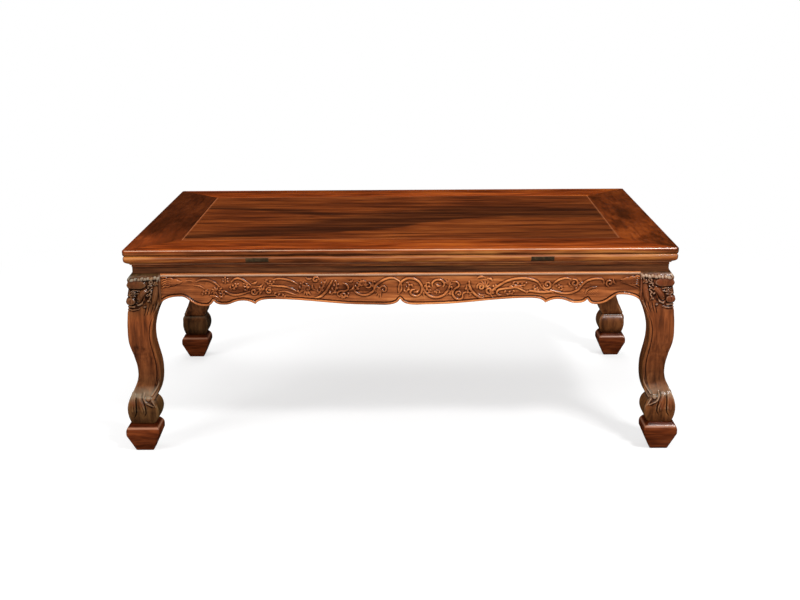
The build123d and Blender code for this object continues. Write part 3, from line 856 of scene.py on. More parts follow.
def gouge(piece, lines, width, depth, fade=0.25):
    """Push the skin in along lines, in a rounded groove that fades at its ends (millimetres)."""
    places, normals = skin_arrays(piece)
    cut = np.zeros(len(places))
    reach = width * MM / 2
    for line in lines:
        low, high = np.min(line, axis=0) - reach, np.max(line, axis=0) + reach
        near = np.flatnonzero(np.all((places > low) & (places < high), axis=1))
        if len(near):
            away, share = away_from_line(places[near], line)
            ends = np.clip(share / fade, 0, 1) * np.clip((1 - share) / fade, 0, 1) if fade else 1
            cut[near] = np.maximum(cut[near], np.clip(1 - (away / reach) ** 2, 0, 1) * ends)
    set_places(piece, places - normals * (depth * MM * cut)[:, None])


# %% [markdown]
# A ribbon is a round bar along a smooth line, thinner towards its ends. All the ribbons of a board are
# splines of one curve object, so Blender bevels them together. A spline's points carry a radius each,
# which gives the taper.


# %% Ribbons and drops
TAPER_LENGTH = 0.4


def taper(share, ends):
    """How thick a ribbon is at a share of its length. Its two ends are shares of its full width."""
    first = (1 - ends[0]) * max(0.0, 1 - share / TAPER_LENGTH) ** 2
    last = (1 - ends[1]) * max(0.0, 1 - (1 - share) / TAPER_LENGTH) ** 2
    return 1 - first - last


def bars(name, strokes, handles="AUTO"):
    """A mesh of round bars. A stroke is its points in metres, its width in millimetres and its ends."""
    curve = bpy.data.curves.new(name, "CURVE")
    curve.dimensions = "3D"
    curve.bevel_depth = MM / 2
    curve.bevel_resolution = 2
    curve.resolution_u = 5
    curve.use_fill_caps = True
    for points, width, ends in strokes:
        spline = curve.splines.new("BEZIER")
        spline.bezier_points.add(len(points) - 1)
        for index, (knot, point) in enumerate(zip(spline.bezier_points, points)):
            knot.co = point
            knot.handle_left_type = knot.handle_right_type = handles
            knot.radius = width * taper(index / (len(points) - 1), ends)
    piece = bpy.data.objects.new(name, curve)
    bpy.context.collection.objects.link(piece)
    only(piece)
    bpy.ops.object.convert(target="MESH")
    return bpy.context.object


def drop(place, size, turn=(0, 0, 0)):
    """An egg-shaped form: its place in metres, its half sizes in millimetres, and its turn."""
    bpy.ops.mesh.primitive_uv_sphere_add(
        segments=20, ring_count=12, radius=1, location=place, rotation=turn
    )
    piece = bpy.context.object
    piece.scale = [s * MM for s in size]
    bpy.ops.object.transform_apply(location=True, rotation=True, scale=True)
    return piece


# %% [markdown]
# Old wax and dust with painted shade darken the hollows of a carving, and its high parts are lighter,
# rubbed and with a painted highlight. How hollow a place is comes from the skin itself: the skin is
# smoothed until the carving is gone, and what lies below the smoothed skin is a hollow. The value is kept
# as an attribute that the finish reads.

# %% Hollows
HOLLOW_PASSES = 14
HOLLOW_REACH = 0.28 * MM


def mark_hollows(piece):
    """Store 0 in the deepest hollows, 0.5 on flat wood and 1 on the sharpest ridges."""
    mesh = piece.data
    places, normals = skin_arrays(piece)
    count = len(places)
    ends = np.zeros(len(mesh.edges) * 2, dtype=np.int64)
    mesh.edges.foreach_get("vertices", ends)
    first, second = ends.reshape(-1, 2).T
    neighbours = np.bincount(first, minlength=count) + np.bincount(second, minlength=count)
    neighbours = np.maximum(neighbours, 1)
    smooth = places.T.copy()
    for _ in range(HOLLOW_PASSES):
        for axis in range(3):
            now = smooth[axis]
            total = np.bincount(first, now[second], count) + np.bincount(second, now[first], count)
            smooth[axis] = 0.5 * now + 0.5 * total / neighbours
    height = np.einsum("ij,ij->i", places - smooth.T, normals)
    value = np.clip(0.5 + 0.5 * height / HOLLOW_REACH, 0, 1)
    mesh.attributes.new("hollow", "FLOAT", "POINT").data.foreach_set("value", value)
    spread = [round(float(v), 2) for v in np.percentile(value, (2, 20, 50, 80, 98))]
    print(piece.name, "hollow values", spread)


def stand_for(piece, node, finish):
    """Give a finished piece its wood and let it take a node's place."""
    piece.data.materials.clear()
    piece.data.materials.append(finishes[finish])
    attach(piece, "root")
    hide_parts(node)


def turned_copy(piece, name, turn):
    """The same piece turned or mirrored about the table's middle, with a mesh of its own."""
    other = bpy.data.objects.new(name, piece.data.copy())
    bpy.context.collection.objects.link(other)
    other.data.transform(turn)
    if turn.determinant() < 0:
        only(other)
        bpy.ops.object.mode_set(mode="EDIT")
        bpy.ops.mesh.select_all(action="SELECT")
        bpy.ops.mesh.normals_make_consistent(inside=False)
        bpy.ops.object.mode_set(mode="OBJECT")
    return other


# %% [markdown]
# ## The aprons
# Each apron is one board, sawn to a cusped lower edge, with a bead left along both edges. Between the
# beads runs a scroll of tendrils, leaves and curls. It starts as combed hair at the legs and meets
# over the middle cusp. The face is set back first, so that beads and scroll stand as high as the
# board was.

# %% The board and its beads
GROUND_DEPTH = 2.4
EDGE_BEAD = 3.0
TOP_BEAD = 3.0
CARVING_VOXEL = 0.6 * MM
TOUCHING = MM / 10
SAWN_BELOW = APRON_TOP - 8 * MM


def lower_edge(piece, out):
    """The lower outline of a board's face, as points in order, read from its edges."""
    mesh = piece.data
    out = Vector(out)
    along = Vector((-out.y, out.x, 0))
    face = max(v.co.dot(out) for v in mesh.vertices)
    on_face = {v.index for v in mesh.vertices if v.co.dot(out) > face - TOUCHING}
    reach = max(mesh.vertices[i].co.dot(along) for i in on_face)
    linked = {}
    seen = {}
    for polygon in mesh.polygons:
        if polygon.normal.dot(out) > 0.99 and on_face.issuperset(polygon.vertices):
            for key in polygon.edge_keys:
                seen[key] = seen.get(key, 0) + 1
    for (a, b), uses in seen.items():
        ends = [mesh.vertices[i].co for i in (a, b)]
        low = max(v.z for v in ends) < SAWN_BELOW
        upright = all(abs(v.dot(along)) > reach - TOUCHING for v in ends)
        if uses == 1 and low and not upright:
            linked.setdefault(a, []).append(b)
            linked.setdefault(b, []).append(a)
    tips = [v for v, others in linked.items() if len(others) == 1]
    path, before = [min(tips, key=lambda v: mesh.vertices[v].co.dot(along))], None
    while True:
        onward = [v for v in linked[path[-1]] if v != before]
        if not onward:
            break
        before = path[-1]
        path.append(onward[0])
    return [mesh.vertices[v].co.copy() for v in path]


def moved_up(line, out, amount):
    """A line moved into its board by an amount, square to its own run."""
    moved = []
    for index, point in enumerate(line):
        run = line[min(index + 1, len(line) - 1)] - line[max(index - 1, 0)]
        inward = run.cross(Vector(out)).normalized()
        moved.append(point + (inward if inward.z > 0 else -inward) * amount)
    return moved


def set_back(piece, out, depth):
    """Push the flat face of a board back, up to the rounding along its top."""
    places, normals = skin_arrays(piece)
    out = np.array(out)
    heights = places @ out
    face = heights > heights.max() - TOUCHING
    places[face] -= out * depth * MM
    set_places(piece, places)


# %% [markdown]
# The scroll is drawn the way a pattern is chalked on a board: across from the middle of its length,
# and down from its top, in millimetres. A few small figures repeat, so each has its function: a
# volute winds in to its eye, a leaf swells between two points, and a fan spreads leaves from a root.


# %% Ribbon, volute and leaf
def ribbon(*points, width=2.6, ends=(0.5, 0.5)):
    """One ribbon through points."""
    return [(points, width, ends)]


VOLUTE_CLOSES = 0.82


def volute(center, radius, start, turns=1.25, way=1, width=2.2):
    """A ribbon that winds in to its eye. Angles in degrees, way 1 for clockwise on a board."""
    steps = max(5, round(8 * abs(turns)) + 1)
    points = []
    for step in range(steps):
        share = step / (steps - 1)
        angle = math.radians(start + way * 360 * turns * share)
        reach = radius * (1 - VOLUTE_CLOSES * share)
        points.append((center[0] + reach * math.cos(angle), center[1] + reach * math.sin(angle)))
    return [(points, width, (0.7, 0.9))]


def leaf(root, tip, width=4.0, bow=0.0):
    """A fat tapered ribbon from root to tip, bowed to one side."""
    (u0, v0), (u1, v1) = root, tip
    middle = ((u0 + u1) / 2 - bow * (v1 - v0), (v0 + v1) / 2 + bow * (u1 - u0))
    return [((root, middle, tip), width, (0.3, 0.15))]


# %% Fan, flower and spray
def fan(root, reach, first, last, count, width=2.2, bow=0.12):
    """Leaves that spread from a root, between two angles in degrees."""
    strokes = []
    for step in range(count):
        angle = math.radians(first + (last - first) * step / max(count - 1, 1))
        tip = (root[0] + reach * math.cos(angle), root[1] + reach * math.sin(angle))
        strokes += leaf(root, tip, width, bow)
    return strokes


def flower(center, radius, petals=6, width=2.6):
    """Petals round a knob."""
    strokes = [(((center[0] - 0.8, center[1]), (center[0] + 0.8, center[1])), 3.0, (1, 1))]
    for step in range(petals):
        angle = math.tau * step / petals
        near = (center[0] + 0.45 * radius * math.cos(angle), center[1] + 0.45 * radius * math.sin(angle))
        far = (center[0] + radius * math.cos(angle + 0.5), center[1] + radius * math.sin(angle + 0.5))
        strokes += leaf(near, far, width, 0.2)
    return strokes


def spray(root, tip, leaves=6, reach=6.5, width=2.4, bow=0.15):
    """A stem with leaves on both sides by turns, shorter towards its tip."""
    (u0, v0), (u1, v1) = root, tip
    middle = ((u0 + u1) / 2 - bow * (v1 - v0), (v0 + v1) / 2 + bow * (u1 - u0))
    strokes = ribbon(root, middle, tip, width=1.8)
    heading = math.atan2(v1 - v0, u1 - u0)
    for step in range(leaves):
        share = (step + 0.5) / leaves
        foot = (
            (1 - share) ** 2 * u0 + 2 * share * (1 - share) * middle[0] + share**2 * u1,
            (1 - share) ** 2 * v0 + 2 * share * (1 - share) * middle[1] + share**2 * v1,
        )
        angle = heading + (0.9 if step % 2 else -0.9)
        length = reach * (1 - 0.45 * share)
        end = (foot[0] + length * math.cos(angle), foot[1] + length * math.sin(angle))
        strokes += leaf(foot, end, width, 0.2 if step % 2 else -0.2)
    return strokes


# %% Hatching and hair
LOCK_POINTS = 8


def hatch(left, top, width, depth, gap=3.6):
    """Fine crossed lines over a field."""
    strokes = []
    for step in range(int((width + depth) / gap)):
        start, end = max(0, step * gap - depth), min(width, step * gap)
        down = step * gap
        strokes += ribbon((left + start, top + down - start), (left + end, top + down - end), width=1.1)
        strokes += ribbon(
            (left + width - start, top + down - start), (left + width - end, top + down - end), width=1.1
        )
    return strokes


def hair(root, tips, count=5, wave=0.7, width=2.0):
    """Combed wavy locks from a root to tips that lie above one another."""
    strokes = []
    (u0, v0), (u1, v_first, v_last) = root, tips
    for lock in range(count):
        v1 = v_first + (v_last - v_first) * lock / (count - 1)
        points = []
        for step in range(LOCK_POINTS):
            share = step / (LOCK_POINTS - 1)
            sway = wave * (1 if step % 2 else -1) * (0.3 + share)
            points.append((u0 + (u1 - u0) * share, v0 + (v1 - v0) * share**0.8 + sway))
        strokes.append((points, width, (0.5, 0.7)))
    return strokes


def shifted(strokes, along):
    """The same strokes further along the board."""
    return [([(u + along, v) for u, v in points], width, ends) for points, width, ends in strokes]


# %% [markdown]
# The middle of the scroll: two large volutes that cross over the cusp, each with a fan of feathers in
# its eye, then a smaller pair with a cap of leaf on one side and a lobed leaf on the other.

# %% The middle of the scroll
middle_scroll = (
    ribbon(
        (-68, 25), (-61, 31), (-52, 33), (-44, 31), (-38, 26), (-36, 20), (-29, 14), (-20, 9), (-10, 8),
        (-3, 11), width=3.0,
    )
    + ribbon((-3, 11), (0, 14), (2, 20), (1, 27), (-3, 32), width=2.4)
    + fan((-27, 27), 11, 95, 215, 6)
    + volute((-24, 25), 6, 200, 1.0, 1, 2.0)
    + ribbon(
        (-1, 31), (-2, 24), (0, 17), (7, 10), (16, 8.5), (24, 11), (30, 17), (32, 24), (30, 31),
        (25, 35), width=3.0,
    )
    + ribbon((25, 35), (19, 34), (15, 30), (17, 26), (21, 25), width=2.6)
    + leaf((19, 22), (13, 18), 3, 0.2)
    + leaf((21, 29), (27, 26), 3.5, 0.2)
    + leaf((35, 27), (35, 36), 2.6, 0.1)
    + ribbon((32, 20), (36, 28), (42, 34), (50, 37), (58, 36), (65, 32), (70, 25), (72, 18), width=3.0)
    + ribbon((47, 21), (47, 15), (53, 11), (60, 12), (64, 17), (62, 22), width=2.8)
    + leaf((52, 17), (59, 20), 3.2, 0.2)
    + fan((69, 18), 8, -150, -10, 5, 1.9)
    + ribbon(
        (76, 14), (83, 15), (85, 20), (79, 25), (76, 30), (78, 36), (84, 40), (90, 38), (91, 32),
        (96, 29), width=2.6,
    )
    + volute((85, 32), 4.5, 180, 1.0, 1, 2.0)
    + volute((-55, 17), 6.5, 20, 0.9, -1, 2.4)
    + fan((-55, 19), 10, -165, -15, 6, 2.4)
    + ribbon((-46, 14), (-42, 18), (-45, 22), (-50, 21), width=2.2)
    + ribbon((-83, 15), (-77, 18), (-75, 23), (-80, 27), (-87, 27), (-91, 31), (-87, 36), width=2.4)
    + volute((-83, 33), 4.5, 120, 1.1, -1, 2.2)
    + leaf((-74, 26), (-67, 18), 3.4, 0.25)
    + leaf((-75, 13), (-68, 10), 3.0, 0.2)
    + spray((-88, 35), (-74, 31), 5, 5.5)
    + spray((-66, 27), (-60, 13), 6, 6.0)
    + spray((-40, 12), (-30, 30), 5, 5.0)
    + spray((8, 30), (12, 14), 5, 5.0)
    + spray((38, 14), (44, 30), 6, 6.0)
    + spray((66, 34), (76, 22), 5, 6.0)
    + spray((58, 27), (50, 30), 4, 4.5)
)

# %% [markdown]
# Left of the middle, clusters of curled leaf hang between long tendrils. Right of it, a long ribbon
# rises, rolls into a volute and turns into a clawed foot, then sinks under a lower wave.

# %% The runs on both sides
left_run = (
    ribbon((-98, 11), (-103, 20), (-108, 28), (-116, 35), (-124, 37), width=3.2)
    + ribbon((-106, 10), (-110, 17), (-116, 25), width=1.8)
    + volute((-122, 10), 5, 0, 1.1, -1, 2.4)
    + leaf((-128, 8), (-137, 6), 3.0, -0.2)
    + fan((-134, 24), 11, 60, 250, 7, 2.6)
    + volute((-134, 23), 5.5, 90, 1.2, 1, 2.4)
    + leaf((-127, 17), (-122, 26), 3.2, 0.25)
    + ribbon((-148, 17), (-156, 12), (-166, 9), (-176, 8), (-184, 10), width=2.4)
    + ribbon((-150, 27), (-158, 23), (-167, 20), (-178, 19), (-190, 18), width=2.4)
    + ribbon((-149, 33), (-158, 30), (-168, 27), (-177, 28), width=1.8)
    + volute((-190, 26), 5, 300, 1.2, -1, 2.4)
    + fan((-200, 26), 8, 120, 290, 5, 2.2)
    + volute((-212, 27), 5, 0, 1.2, 1, 2.4)
    + leaf((-208, 20), (-198, 15), 2.8, 0.2)
    + ribbon((-216, 18), (-224, 12), (-233, 7.5), (-239, 8), (-245, 13), width=2.6)
    + leaf((-215, 15), (-207, 12), 3.6, 0.15)
    + spray((-100, 33), (-92, 12), 7, 6.5)
    + spray((-118, 30), (-112, 12), 6, 6.0)
    + spray((-146, 30), (-142, 12), 6, 6.0)
    + spray((-184, 32), (-166, 33), 6, 5.0)
    + spray((-196, 12), (-182, 14), 5, 5.0)
    + spray((-222, 26), (-226, 12), 6, 6.0)
)
right_run = (
    ribbon((100, 13), (101, 22), (107, 31), (115, 37), (121, 38), width=3.2)
    + fan((121, 22), 10, -170, -20, 6, 2.4)
    + volute((117, 22), 6, 160, 1.2, 1, 2.4)
    + volute((129, 27), 6, 0, 1.2, 1, 2.4)
    + leaf((111, 9), (124, 8), 3.2, -0.15)
    + leaf((126, 9), (134, 14), 3.0, -0.2)
    + leaf((112, 31), (124, 33), 2.6, 0.2)
    + ribbon(
        (134, 37), (131, 31), (136, 25), (146, 18), (158, 12), (172, 9.5), (188, 10.5), (199, 15),
        (204, 22), width=3.0,
    )
    + ribbon(
        (147, 34), (141, 33), (141, 28), (148, 25), (158, 24), (168, 23), (177, 27), (184, 31),
        width=2.6,
    )
    + ribbon((158, 22), (161, 21), (164, 22.5), (167, 21), (170, 22.5), (173, 22), (177, 24), width=2.0)
    + ribbon((187, 28), (196, 29), (207, 30), (220, 29), width=3.4, ends=(0.8, 0.6))
    + leaf((187, 28), (183, 33), 2.8, 0.2)
    + volute((213, 19), 6.5, 170, 1.3, -1, 2.6)
    + ribbon((204, 22), (212, 28), (222, 31), width=2.2)
    + spray((96, 18), (104, 34), 6, 6.0)
    + spray((128, 34), (138, 18), 6, 6.0)
    + spray((150, 31), (166, 29), 5, 4.5)
    + spray((162, 18), (184, 17), 7, 5.0)
    + spray((192, 22), (201, 26), 4, 4.0)
)

# %% [markdown]
# Towards the legs the scroll rides the two lobes of the lower edge and ends in combed hair, as if the
# masks on the legs had manes. The short aprons are cut with the same two ends and the same middle.

# %% The ends of the scroll
left_end = (
    flower((-253, 10), 6, 6, 2.4)
    + ribbon((-218, 27), (-228, 30), (-238, 32), (-248, 30), (-256, 25), width=2.6)
    + fan((-268, 26), 7, 60, 300, 6, 2.2)
    + ribbon((-262, 20), (-268, 14), (-277, 10), (-287, 9), (-296, 12), width=2.6)
    + ribbon((-284, 22), (-292, 18), (-300, 17), width=1.8)
    + ribbon((-300, 11.5), (-305, 10), (-311, 11), width=1.6)
    + hair((-316, 12), (-345, 5, 20))
    + ribbon((-262, 38), (-268, 34), (-276, 33), width=2.0)
    + spray((-246, 24), (-236, 14), 6, 5.5)
    + spray((-258, 36), (-262, 22), 6, 5.5)
    + spray((-276, 27), (-288, 30), 5, 5.0)
)
right_end = (
    ribbon((220, 20), (225, 15), (232, 11), (241, 9.5), (247, 11), width=2.6)
    + volute((252, 17), 6, 250, 1.1, 1, 2.4)
    + leaf((244, 15), (250, 22), 2.6, 0.2)
    + ribbon(
        (217, 27), (227, 30), (237, 32), (248, 31), (257, 27), (262, 21), (268, 15), (276, 11.5),
        (286, 10.5), (293, 12), (295, 18), width=2.8,
    )
    + ribbon((268, 33), (271, 27), (277, 24), (284, 23), width=2.4)
    + volute((303, 17), 5.5, 100, 1.1, 1, 2.4)
    + leaf((308, 11), (313, 19), 3.0, 0.2)
    + hair((319, 12), (346, 7, 21))
    + ribbon((319, 15), (332, 19), (345, 25), width=1.8)
    + hatch(264, 24, 22, 12)
    + spray((236, 26), (226, 20), 5, 4.5)
    + spray((262, 14), (256, 26), 6, 5.5)
)
END_SHIFT = (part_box("apron_front")[1].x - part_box("apron_left")[1].y) / MM
long_scroll = left_end + left_run + middle_scroll + right_run + right_end
short_scroll = shifted(left_end, END_SHIFT) + middle_scroll + shifted(right_end, -END_SHIFT)
print(len(long_scroll), "strokes on a long apron and", len(short_scroll), "on a short one")

# %% [markdown]
# The drawing is laid on a board by one turn: across and down become the board's own two directions.
# Ribbons are made a little wider than drawn, because the skin that grows over them rounds them off, and
# the top bead is a long bar whose ends run into the legs. A last quirk is cut above the lower bead.

# %% Carve one apron
WIDEN = 1.3
BELOW_TENONS = APRON_TOP - 35 * MM
APRON_TRIANGLES = 180000
LOW_BEAD_STANDS, TOP_BEAD_SINKS = 0.7, 0.3
QUIRK_GAP, QUIRK_WIDTH, QUIRK_DEPTH = 0.9, 2.0, 0.8
QUIRK_RUN = 8


def carved_apron(node, name, strokes, quarter):
    """A board with its beads and scroll. quarter turns the front's drawing to the board's own side."""
    turn = Matrix.Rotation(-quarter * math.pi / 2, 4, "Z")
    out = turn @ Vector((0, -1, 0))
    board = blank_from(node, name)
    along = turn @ Vector((1, 0, 0))
    half = max(v.co.dot(along) for v in board.data.vertices if v.co.z < BELOW_TENONS)
    face = max(v.co.dot(out) for v in board.data.vertices)
    sawn_edge = lower_edge(board, out)
    outline = moved_up(sawn_edge, out, EDGE_BEAD * MM / 2)
    set_back(board, out, GROUND_DEPTH)
    ground = face - GROUND_DEPTH * MM
    low_bead = [p - out * ((GROUND_DEPTH - LOW_BEAD_STANDS) * MM) for p in outline]
    drawn = [
        ([(u * MM, 0, -v * MM) for u, v in points], width * WIDEN, ends) for points, width, ends in strokes
    ]
    relief = bars(name + "_scroll", drawn)
    relief.data.transform(turn @ Matrix.Translation((0, -ground, APRON_TOP)))
    top_z = APRON_TOP - TOP_BEAD * MM
    top_line = [
        turn @ Vector((side * half, -ground + TOP_BEAD_SINKS * MM, top_z)) for side in (-1, 1)
    ]
    beads = bars(name + "_beads", [(low_bead, EDGE_BEAD, (1, 1)), (top_line, TOP_BEAD, (1, 1))], "VECTOR")
    grow_skin(board, [relief, beads], CARVING_VOXEL)
    above_bead = moved_up(sawn_edge, out, (EDGE_BEAD + QUIRK_GAP) * MM)
    quirk = [p - out * (GROUND_DEPTH * MM) for p in above_bead]
    short_runs = [quirk[start:start + QUIRK_RUN + 1] for start in range(0, len(quirk) - 1, QUIRK_RUN)]
    gouge(board, short_runs, QUIRK_WIDTH, QUIRK_DEPTH, fade=0)
    mark_hollows(board)
    thin_out(board, APRON_TRIANGLES)
    return board


apron_front = carved_apron("apron_front", "apron_front_carved", long_scroll, 0)
apron_left = carved_apron("apron_left", "apron_left_carved", short_scroll, 1)
half_turn = Matrix.Rotation(math.pi, 4, "Z")
apron_back = turned_copy(apron_front, "apron_back_carved", half_turn)
apron_right = turned_copy(apron_left, "apron_right_carved", half_turn)
for apron, node, finish in (
    (apron_front, "apron_front", "apron_long"),
    (apron_left, "apron_left", "apron_short"),
    (apron_back, "apron_back", "apron_long"),
    (apron_right, "apron_right", "apron_short"),
):
    stand_for(apron, node, finish)
print("four carved aprons")

# %% [markdown]
# ## The legs
# A cabriole leg with an animal's mask at its shoulder and a claw round a ball at its foot. The mask
# sits across the corner: half of it on the front face and half on the side face, so one half is drawn
# and the other is its mirror image about the corner. A place on the drawing is given by how far it
# lies in from the top's left edge and how high it is, in millimetres, and a ray shot at the front face
# finds the skin there. That keeps every form seated on the curved leg.

# %% Drawing on a leg
LEG_VOXEL = 0.7 * MM
SHOOT_FROM = 30 * MM
SEARCH = 9


def skin_tree(piece):
    """A search tree of a piece's faces."""
    mesh = piece.data
    return BVHTree.FromPolygons([v.co for v in mesh.vertices], [list(p.vertices) for p in mesh.polygons])


def on_leg(skin, inset, height):
    """The front skin's place and normal. A ray that misses is shot again a little to either side."""
    for step in sorted(range(-SEARCH, SEARCH + 1), key=abs):
        start = Vector((CORNER.x + (inset + step) * MM, CORNER.y - SHOOT_FROM, height * MM))
        place, normal, _, _ = skin.ray_cast(start, Vector((0, 1, 0)), 3 * SHOOT_FROM)
        if place:
            return place, normal
    raise ValueError(f"no skin at {inset}, {height}")


def on_skin(skin, strokes, lift=0.0):
    """Strokes of (inset, height) points laid on the leg's skin."""
    laid = []
    for points, width, ends in strokes:
        places = [on_leg(skin, *point) for point in points]
        laid.append(([place + normal * (lift * MM) for place, normal in places], width, ends))
    return laid


def knob(skin, inset, height, size, tilt=0.0):
    """A drop on the leg's skin: half its breadth, height and depth, tilted by degrees."""
    place, normal = on_leg(skin, inset, height)
    turn = normal.to_track_quat("Z", "Y").to_matrix() @ Matrix.Rotation(math.radians(tilt), 3, "Z")
    return drop(place, size, turn.to_euler())


# %% The other half of the mask
ACROSS_CORNER = Matrix((
    (0, 1, 0, CORNER.x - CORNER.y),
    (1, 0, 0, CORNER.y - CORNER.x),
    (0, 0, 1, 0),
    (0, 0, 0, 1),
))


def other_half(form):
    """The form's mirror image about the corner, for the side face."""
    return turned_copy(form, form.name + "_side", ACROSS_CORNER)


# %% [markdown]
# The mask, from the top: a roll of curls under the waist, a heavy brow, an almond eye with a bright
# lower lid, a cheek that sweeps down to the nose with its crescent and nostril, lips, a jowl behind
# them, a chain of curls along the temple, and locks of mane that fall to the knee. Lines stand on the
# skin, masses are fat and lie half sunk in it, and cuts part them.

# %% The mask's lines
mask_lines = (
    ribbon((21.8, 243.4), (17.6, 245.2), (12.6, 244.4), (7.6, 241.2), width=2.0)
    + ribbon((16.2, 236.6), (11.2, 235.8), (7.4, 237.8), (5.8, 240.4), width=2.4, ends=(0.6, 0.7))
    + ribbon((27.0, 229.0), (25.3, 225.8), (22.2, 223.6), (18.4, 222.6), width=2.6, ends=(0.6, 0.9))
    + ribbon((15.0, 220.3), (10.2, 220.8), (5.5, 221.0), (2.4, 220.6), width=2.8, ends=(0.7, 0.9))
    + ribbon((21, 217.6), (13, 216.0), (6, 216.6), width=1.8)
    + ribbon((12.8, 230.6), (10.4, 232.7), (6.2, 233.4), width=1.8)
    + volute((38.6, 256.6), 3.3, 60, 1.1, -1, 1.8)
    + volute((45.5, 255.0), 2.7, 200, 1.1, 1, 1.6)
    + ribbon((40.6, 251.0), (37.2, 251.9), (34.6, 251.0), width=2.2)
    + ribbon(
        (41.0, 248.0), (37.8, 245.2), (40.6, 242.2), (37.0, 239.2), (39.4, 235.6), (36.6, 232.0),
        (38.0, 227.5), width=1.9,
    )
    + ribbon((36.2, 244.6), (33.8, 242.4), (32.2, 244.4), width=1.7)
    + ribbon((36.0, 238.6), (33.4, 236.4), (31.8, 238.8), width=1.7)
    + ribbon((50.5, 262), (48.6, 258), (49.4, 253), width=2.0)
)
print("half a mask has", len(mask_lines), "lines")

# %% The masses and the mane
mask_masses = (
    ribbon((32.6, 246.6), (29.2, 242.6), (24.2, 236.8), (20.4, 230.6), width=9.0, ends=(0.55, 0.9))
    + ribbon((46.4, 249.5), (45.2, 240), (42.6, 230.5), (39.2, 220), width=7.0, ends=(0.55, 0.35))
)
mane_locks = (
    ribbon((45.4, 228), (42.2, 217), (38.2, 206.5), width=3.6, ends=(0.5, 0.3))
    + ribbon((38.4, 225), (36.2, 216), (33.4, 206.5), width=4.0, ends=(0.5, 0.3))
    + ribbon((33.6, 221), (31.6, 213.5), (29.8, 206.5), width=3.6, ends=(0.6, 0.3))
    + ribbon((28.8, 217.5), (27.4, 212), (26.4, 206.5), width=3.0, ends=(0.6, 0.3))
)
print("and", len(mane_locks), "locks")

# %% The mask's cuts and knobs
mask_cuts = (
    ribbon((31.0, 247.0), (24.0, 245.6), (18.8, 246.9), (12.4, 246.7), (3.2, 244.6))
    + ribbon((31.8, 240.4), (28.2, 234.4), (24.6, 228.6), (20.4, 226.0), (16.8, 228.0), (16.6, 233.6))
    + ribbon((16.2, 224.4), (10, 222.8), (4, 223.0))
    + ribbon((9.8, 231.8), (8.4, 228.6), (9.4, 225.0))
    + ribbon((50, 229), (47.5, 219), (44.5, 209))
)
mane_cuts = (
    ribbon((42, 228), (40.2, 218), (36.4, 208))
    + ribbon((35.9, 225), (34.2, 216), (31.8, 207.5))
    + ribbon((31.0, 220), (29.6, 213), (28.2, 207))
    + ribbon((42.4, 250), (41.2, 241), (38.8, 231))
)
cheek_hollow = ribbon((34.0, 236.5), (30.4, 230.6), (26.6, 224.8))
pupil = ribbon((15.0, 241.0), (13.2, 240.4), (11.4, 239.8))
mask_knobs = (
    (18.0, 253.0, (14.4, 6.1, 1.5), 0),
    (13.2, 240.4, (4.2, 3.0, 2.4), 20),
    (9.0, 228.6, (6.8, 5.4, 2.4), 0),
    (35.4, 248.4, (1.5, 1.3, 2.4), 0),
    (34.6, 229.4, (1.5, 1.6, 2.6), 0),
    (29.2, 220.2, (1.8, 1.3, 2.6), 0),
)
ROLL_CURLS = [
    (50 - 4.7 * step, 262.7 - 0.35 * step + 0.8 * (step % 2), (2.9 + 0.4 * (step % 3), 2.5, 1.5), 25)
    for step in range(9)
]
print("and", len(mask_knobs) + len(ROLL_CURLS), "knobs and curls")

# %% [markdown]
# A cut line parts a narrow band from each face, along its inner edge, from the seam to the ankle. There
# a knob stands for the dewclaw. Talons curl round it, two toes swell over the ball, and cuts part them.

# %% The inner bead and the claw
leg_beads = (
    ribbon((50, 228), (46.5, 219), (42, 210), width=2.4, ends=(0.8, 0.5))
    + ribbon((42.6, 112), (42.2, 103), (38.4, 94), (32.6, 85.4), width=2.7, ends=(0.2, 0.9))
    + ribbon((21.6, 90), (21.2, 82), (24.2, 76.2), (30.4, 72.8), (36.0, 70.6), width=2.8, ends=(0.3, 0.6))
    + ribbon((33.0, 78.6), (36.0, 74.4), (38.6, 69.6), width=2.4, ends=(0.7, 0.3))
    + ribbon((16.8, 88), (15.8, 80), (18.4, 73.0), (21.4, 66.5), (21.8, 60), width=2.0, ends=(0.3, 0.2))
    + ribbon((8.2, 88), (7.2, 80), (7.2, 73), (7.8, 66), (7.0, 59), width=2.0, ends=(0.3, 0.2))
)
toe_masses = (
    ribbon((14.6, 92), (14.6, 83), (15.8, 73.5), (18.4, 64.5), (18.6, 57), width=7.4, ends=(0.3, 0.5))
    + ribbon((5.6, 92), (4.8, 82), (4.4, 73), (4.2, 64), (4.6, 57), width=7.0, ends=(0.3, 0.5))
)
toe_cuts = (
    ribbon((18.8, 91), (18.2, 82.5), (21.2, 75), (23.6, 68), (23.6, 60), (19.8, 53))
    + ribbon((10.4, 92), (9.6, 83), (9.6, 74), (10.0, 66), (8.8, 58), (4.6, 52))
)
DEWCLAW = (27.6, 81.6, (3.4, 3.4, 2.0), 0)
band_cut = ribbon(
    (47.6, 219), (42.6, 209), (37, 198), (34.4, 185), (34.4, 172), (36.2, 157), (38.8, 140), (40, 125),
    (39.6, 112), (37, 100), (32.5, 88.5),
)
LEG_CUTS = (
    (mask_cuts, 2.4, 1.1), (mane_cuts, 1.8, 0.7), (cheek_hollow, 7.0, 0.9), (pupil, 2.4, 1.3),
    (band_cut, 2.4, 0.6), (toe_cuts, 2.4, 1.0),
)
print("a leg has", len(leg_beads), "beads on each face and", len(LEG_CUTS), "sets of cuts")

# %% [markdown]
# Between its lines the mask is set back from the face, so that brow, cheek, nose and jowl stand out as
# smooth masses. They are ellipses on the drawing. The same ellipses, and two more on the toes, say
# later where hands have polished the carving, together with the plain edge beside the apron.

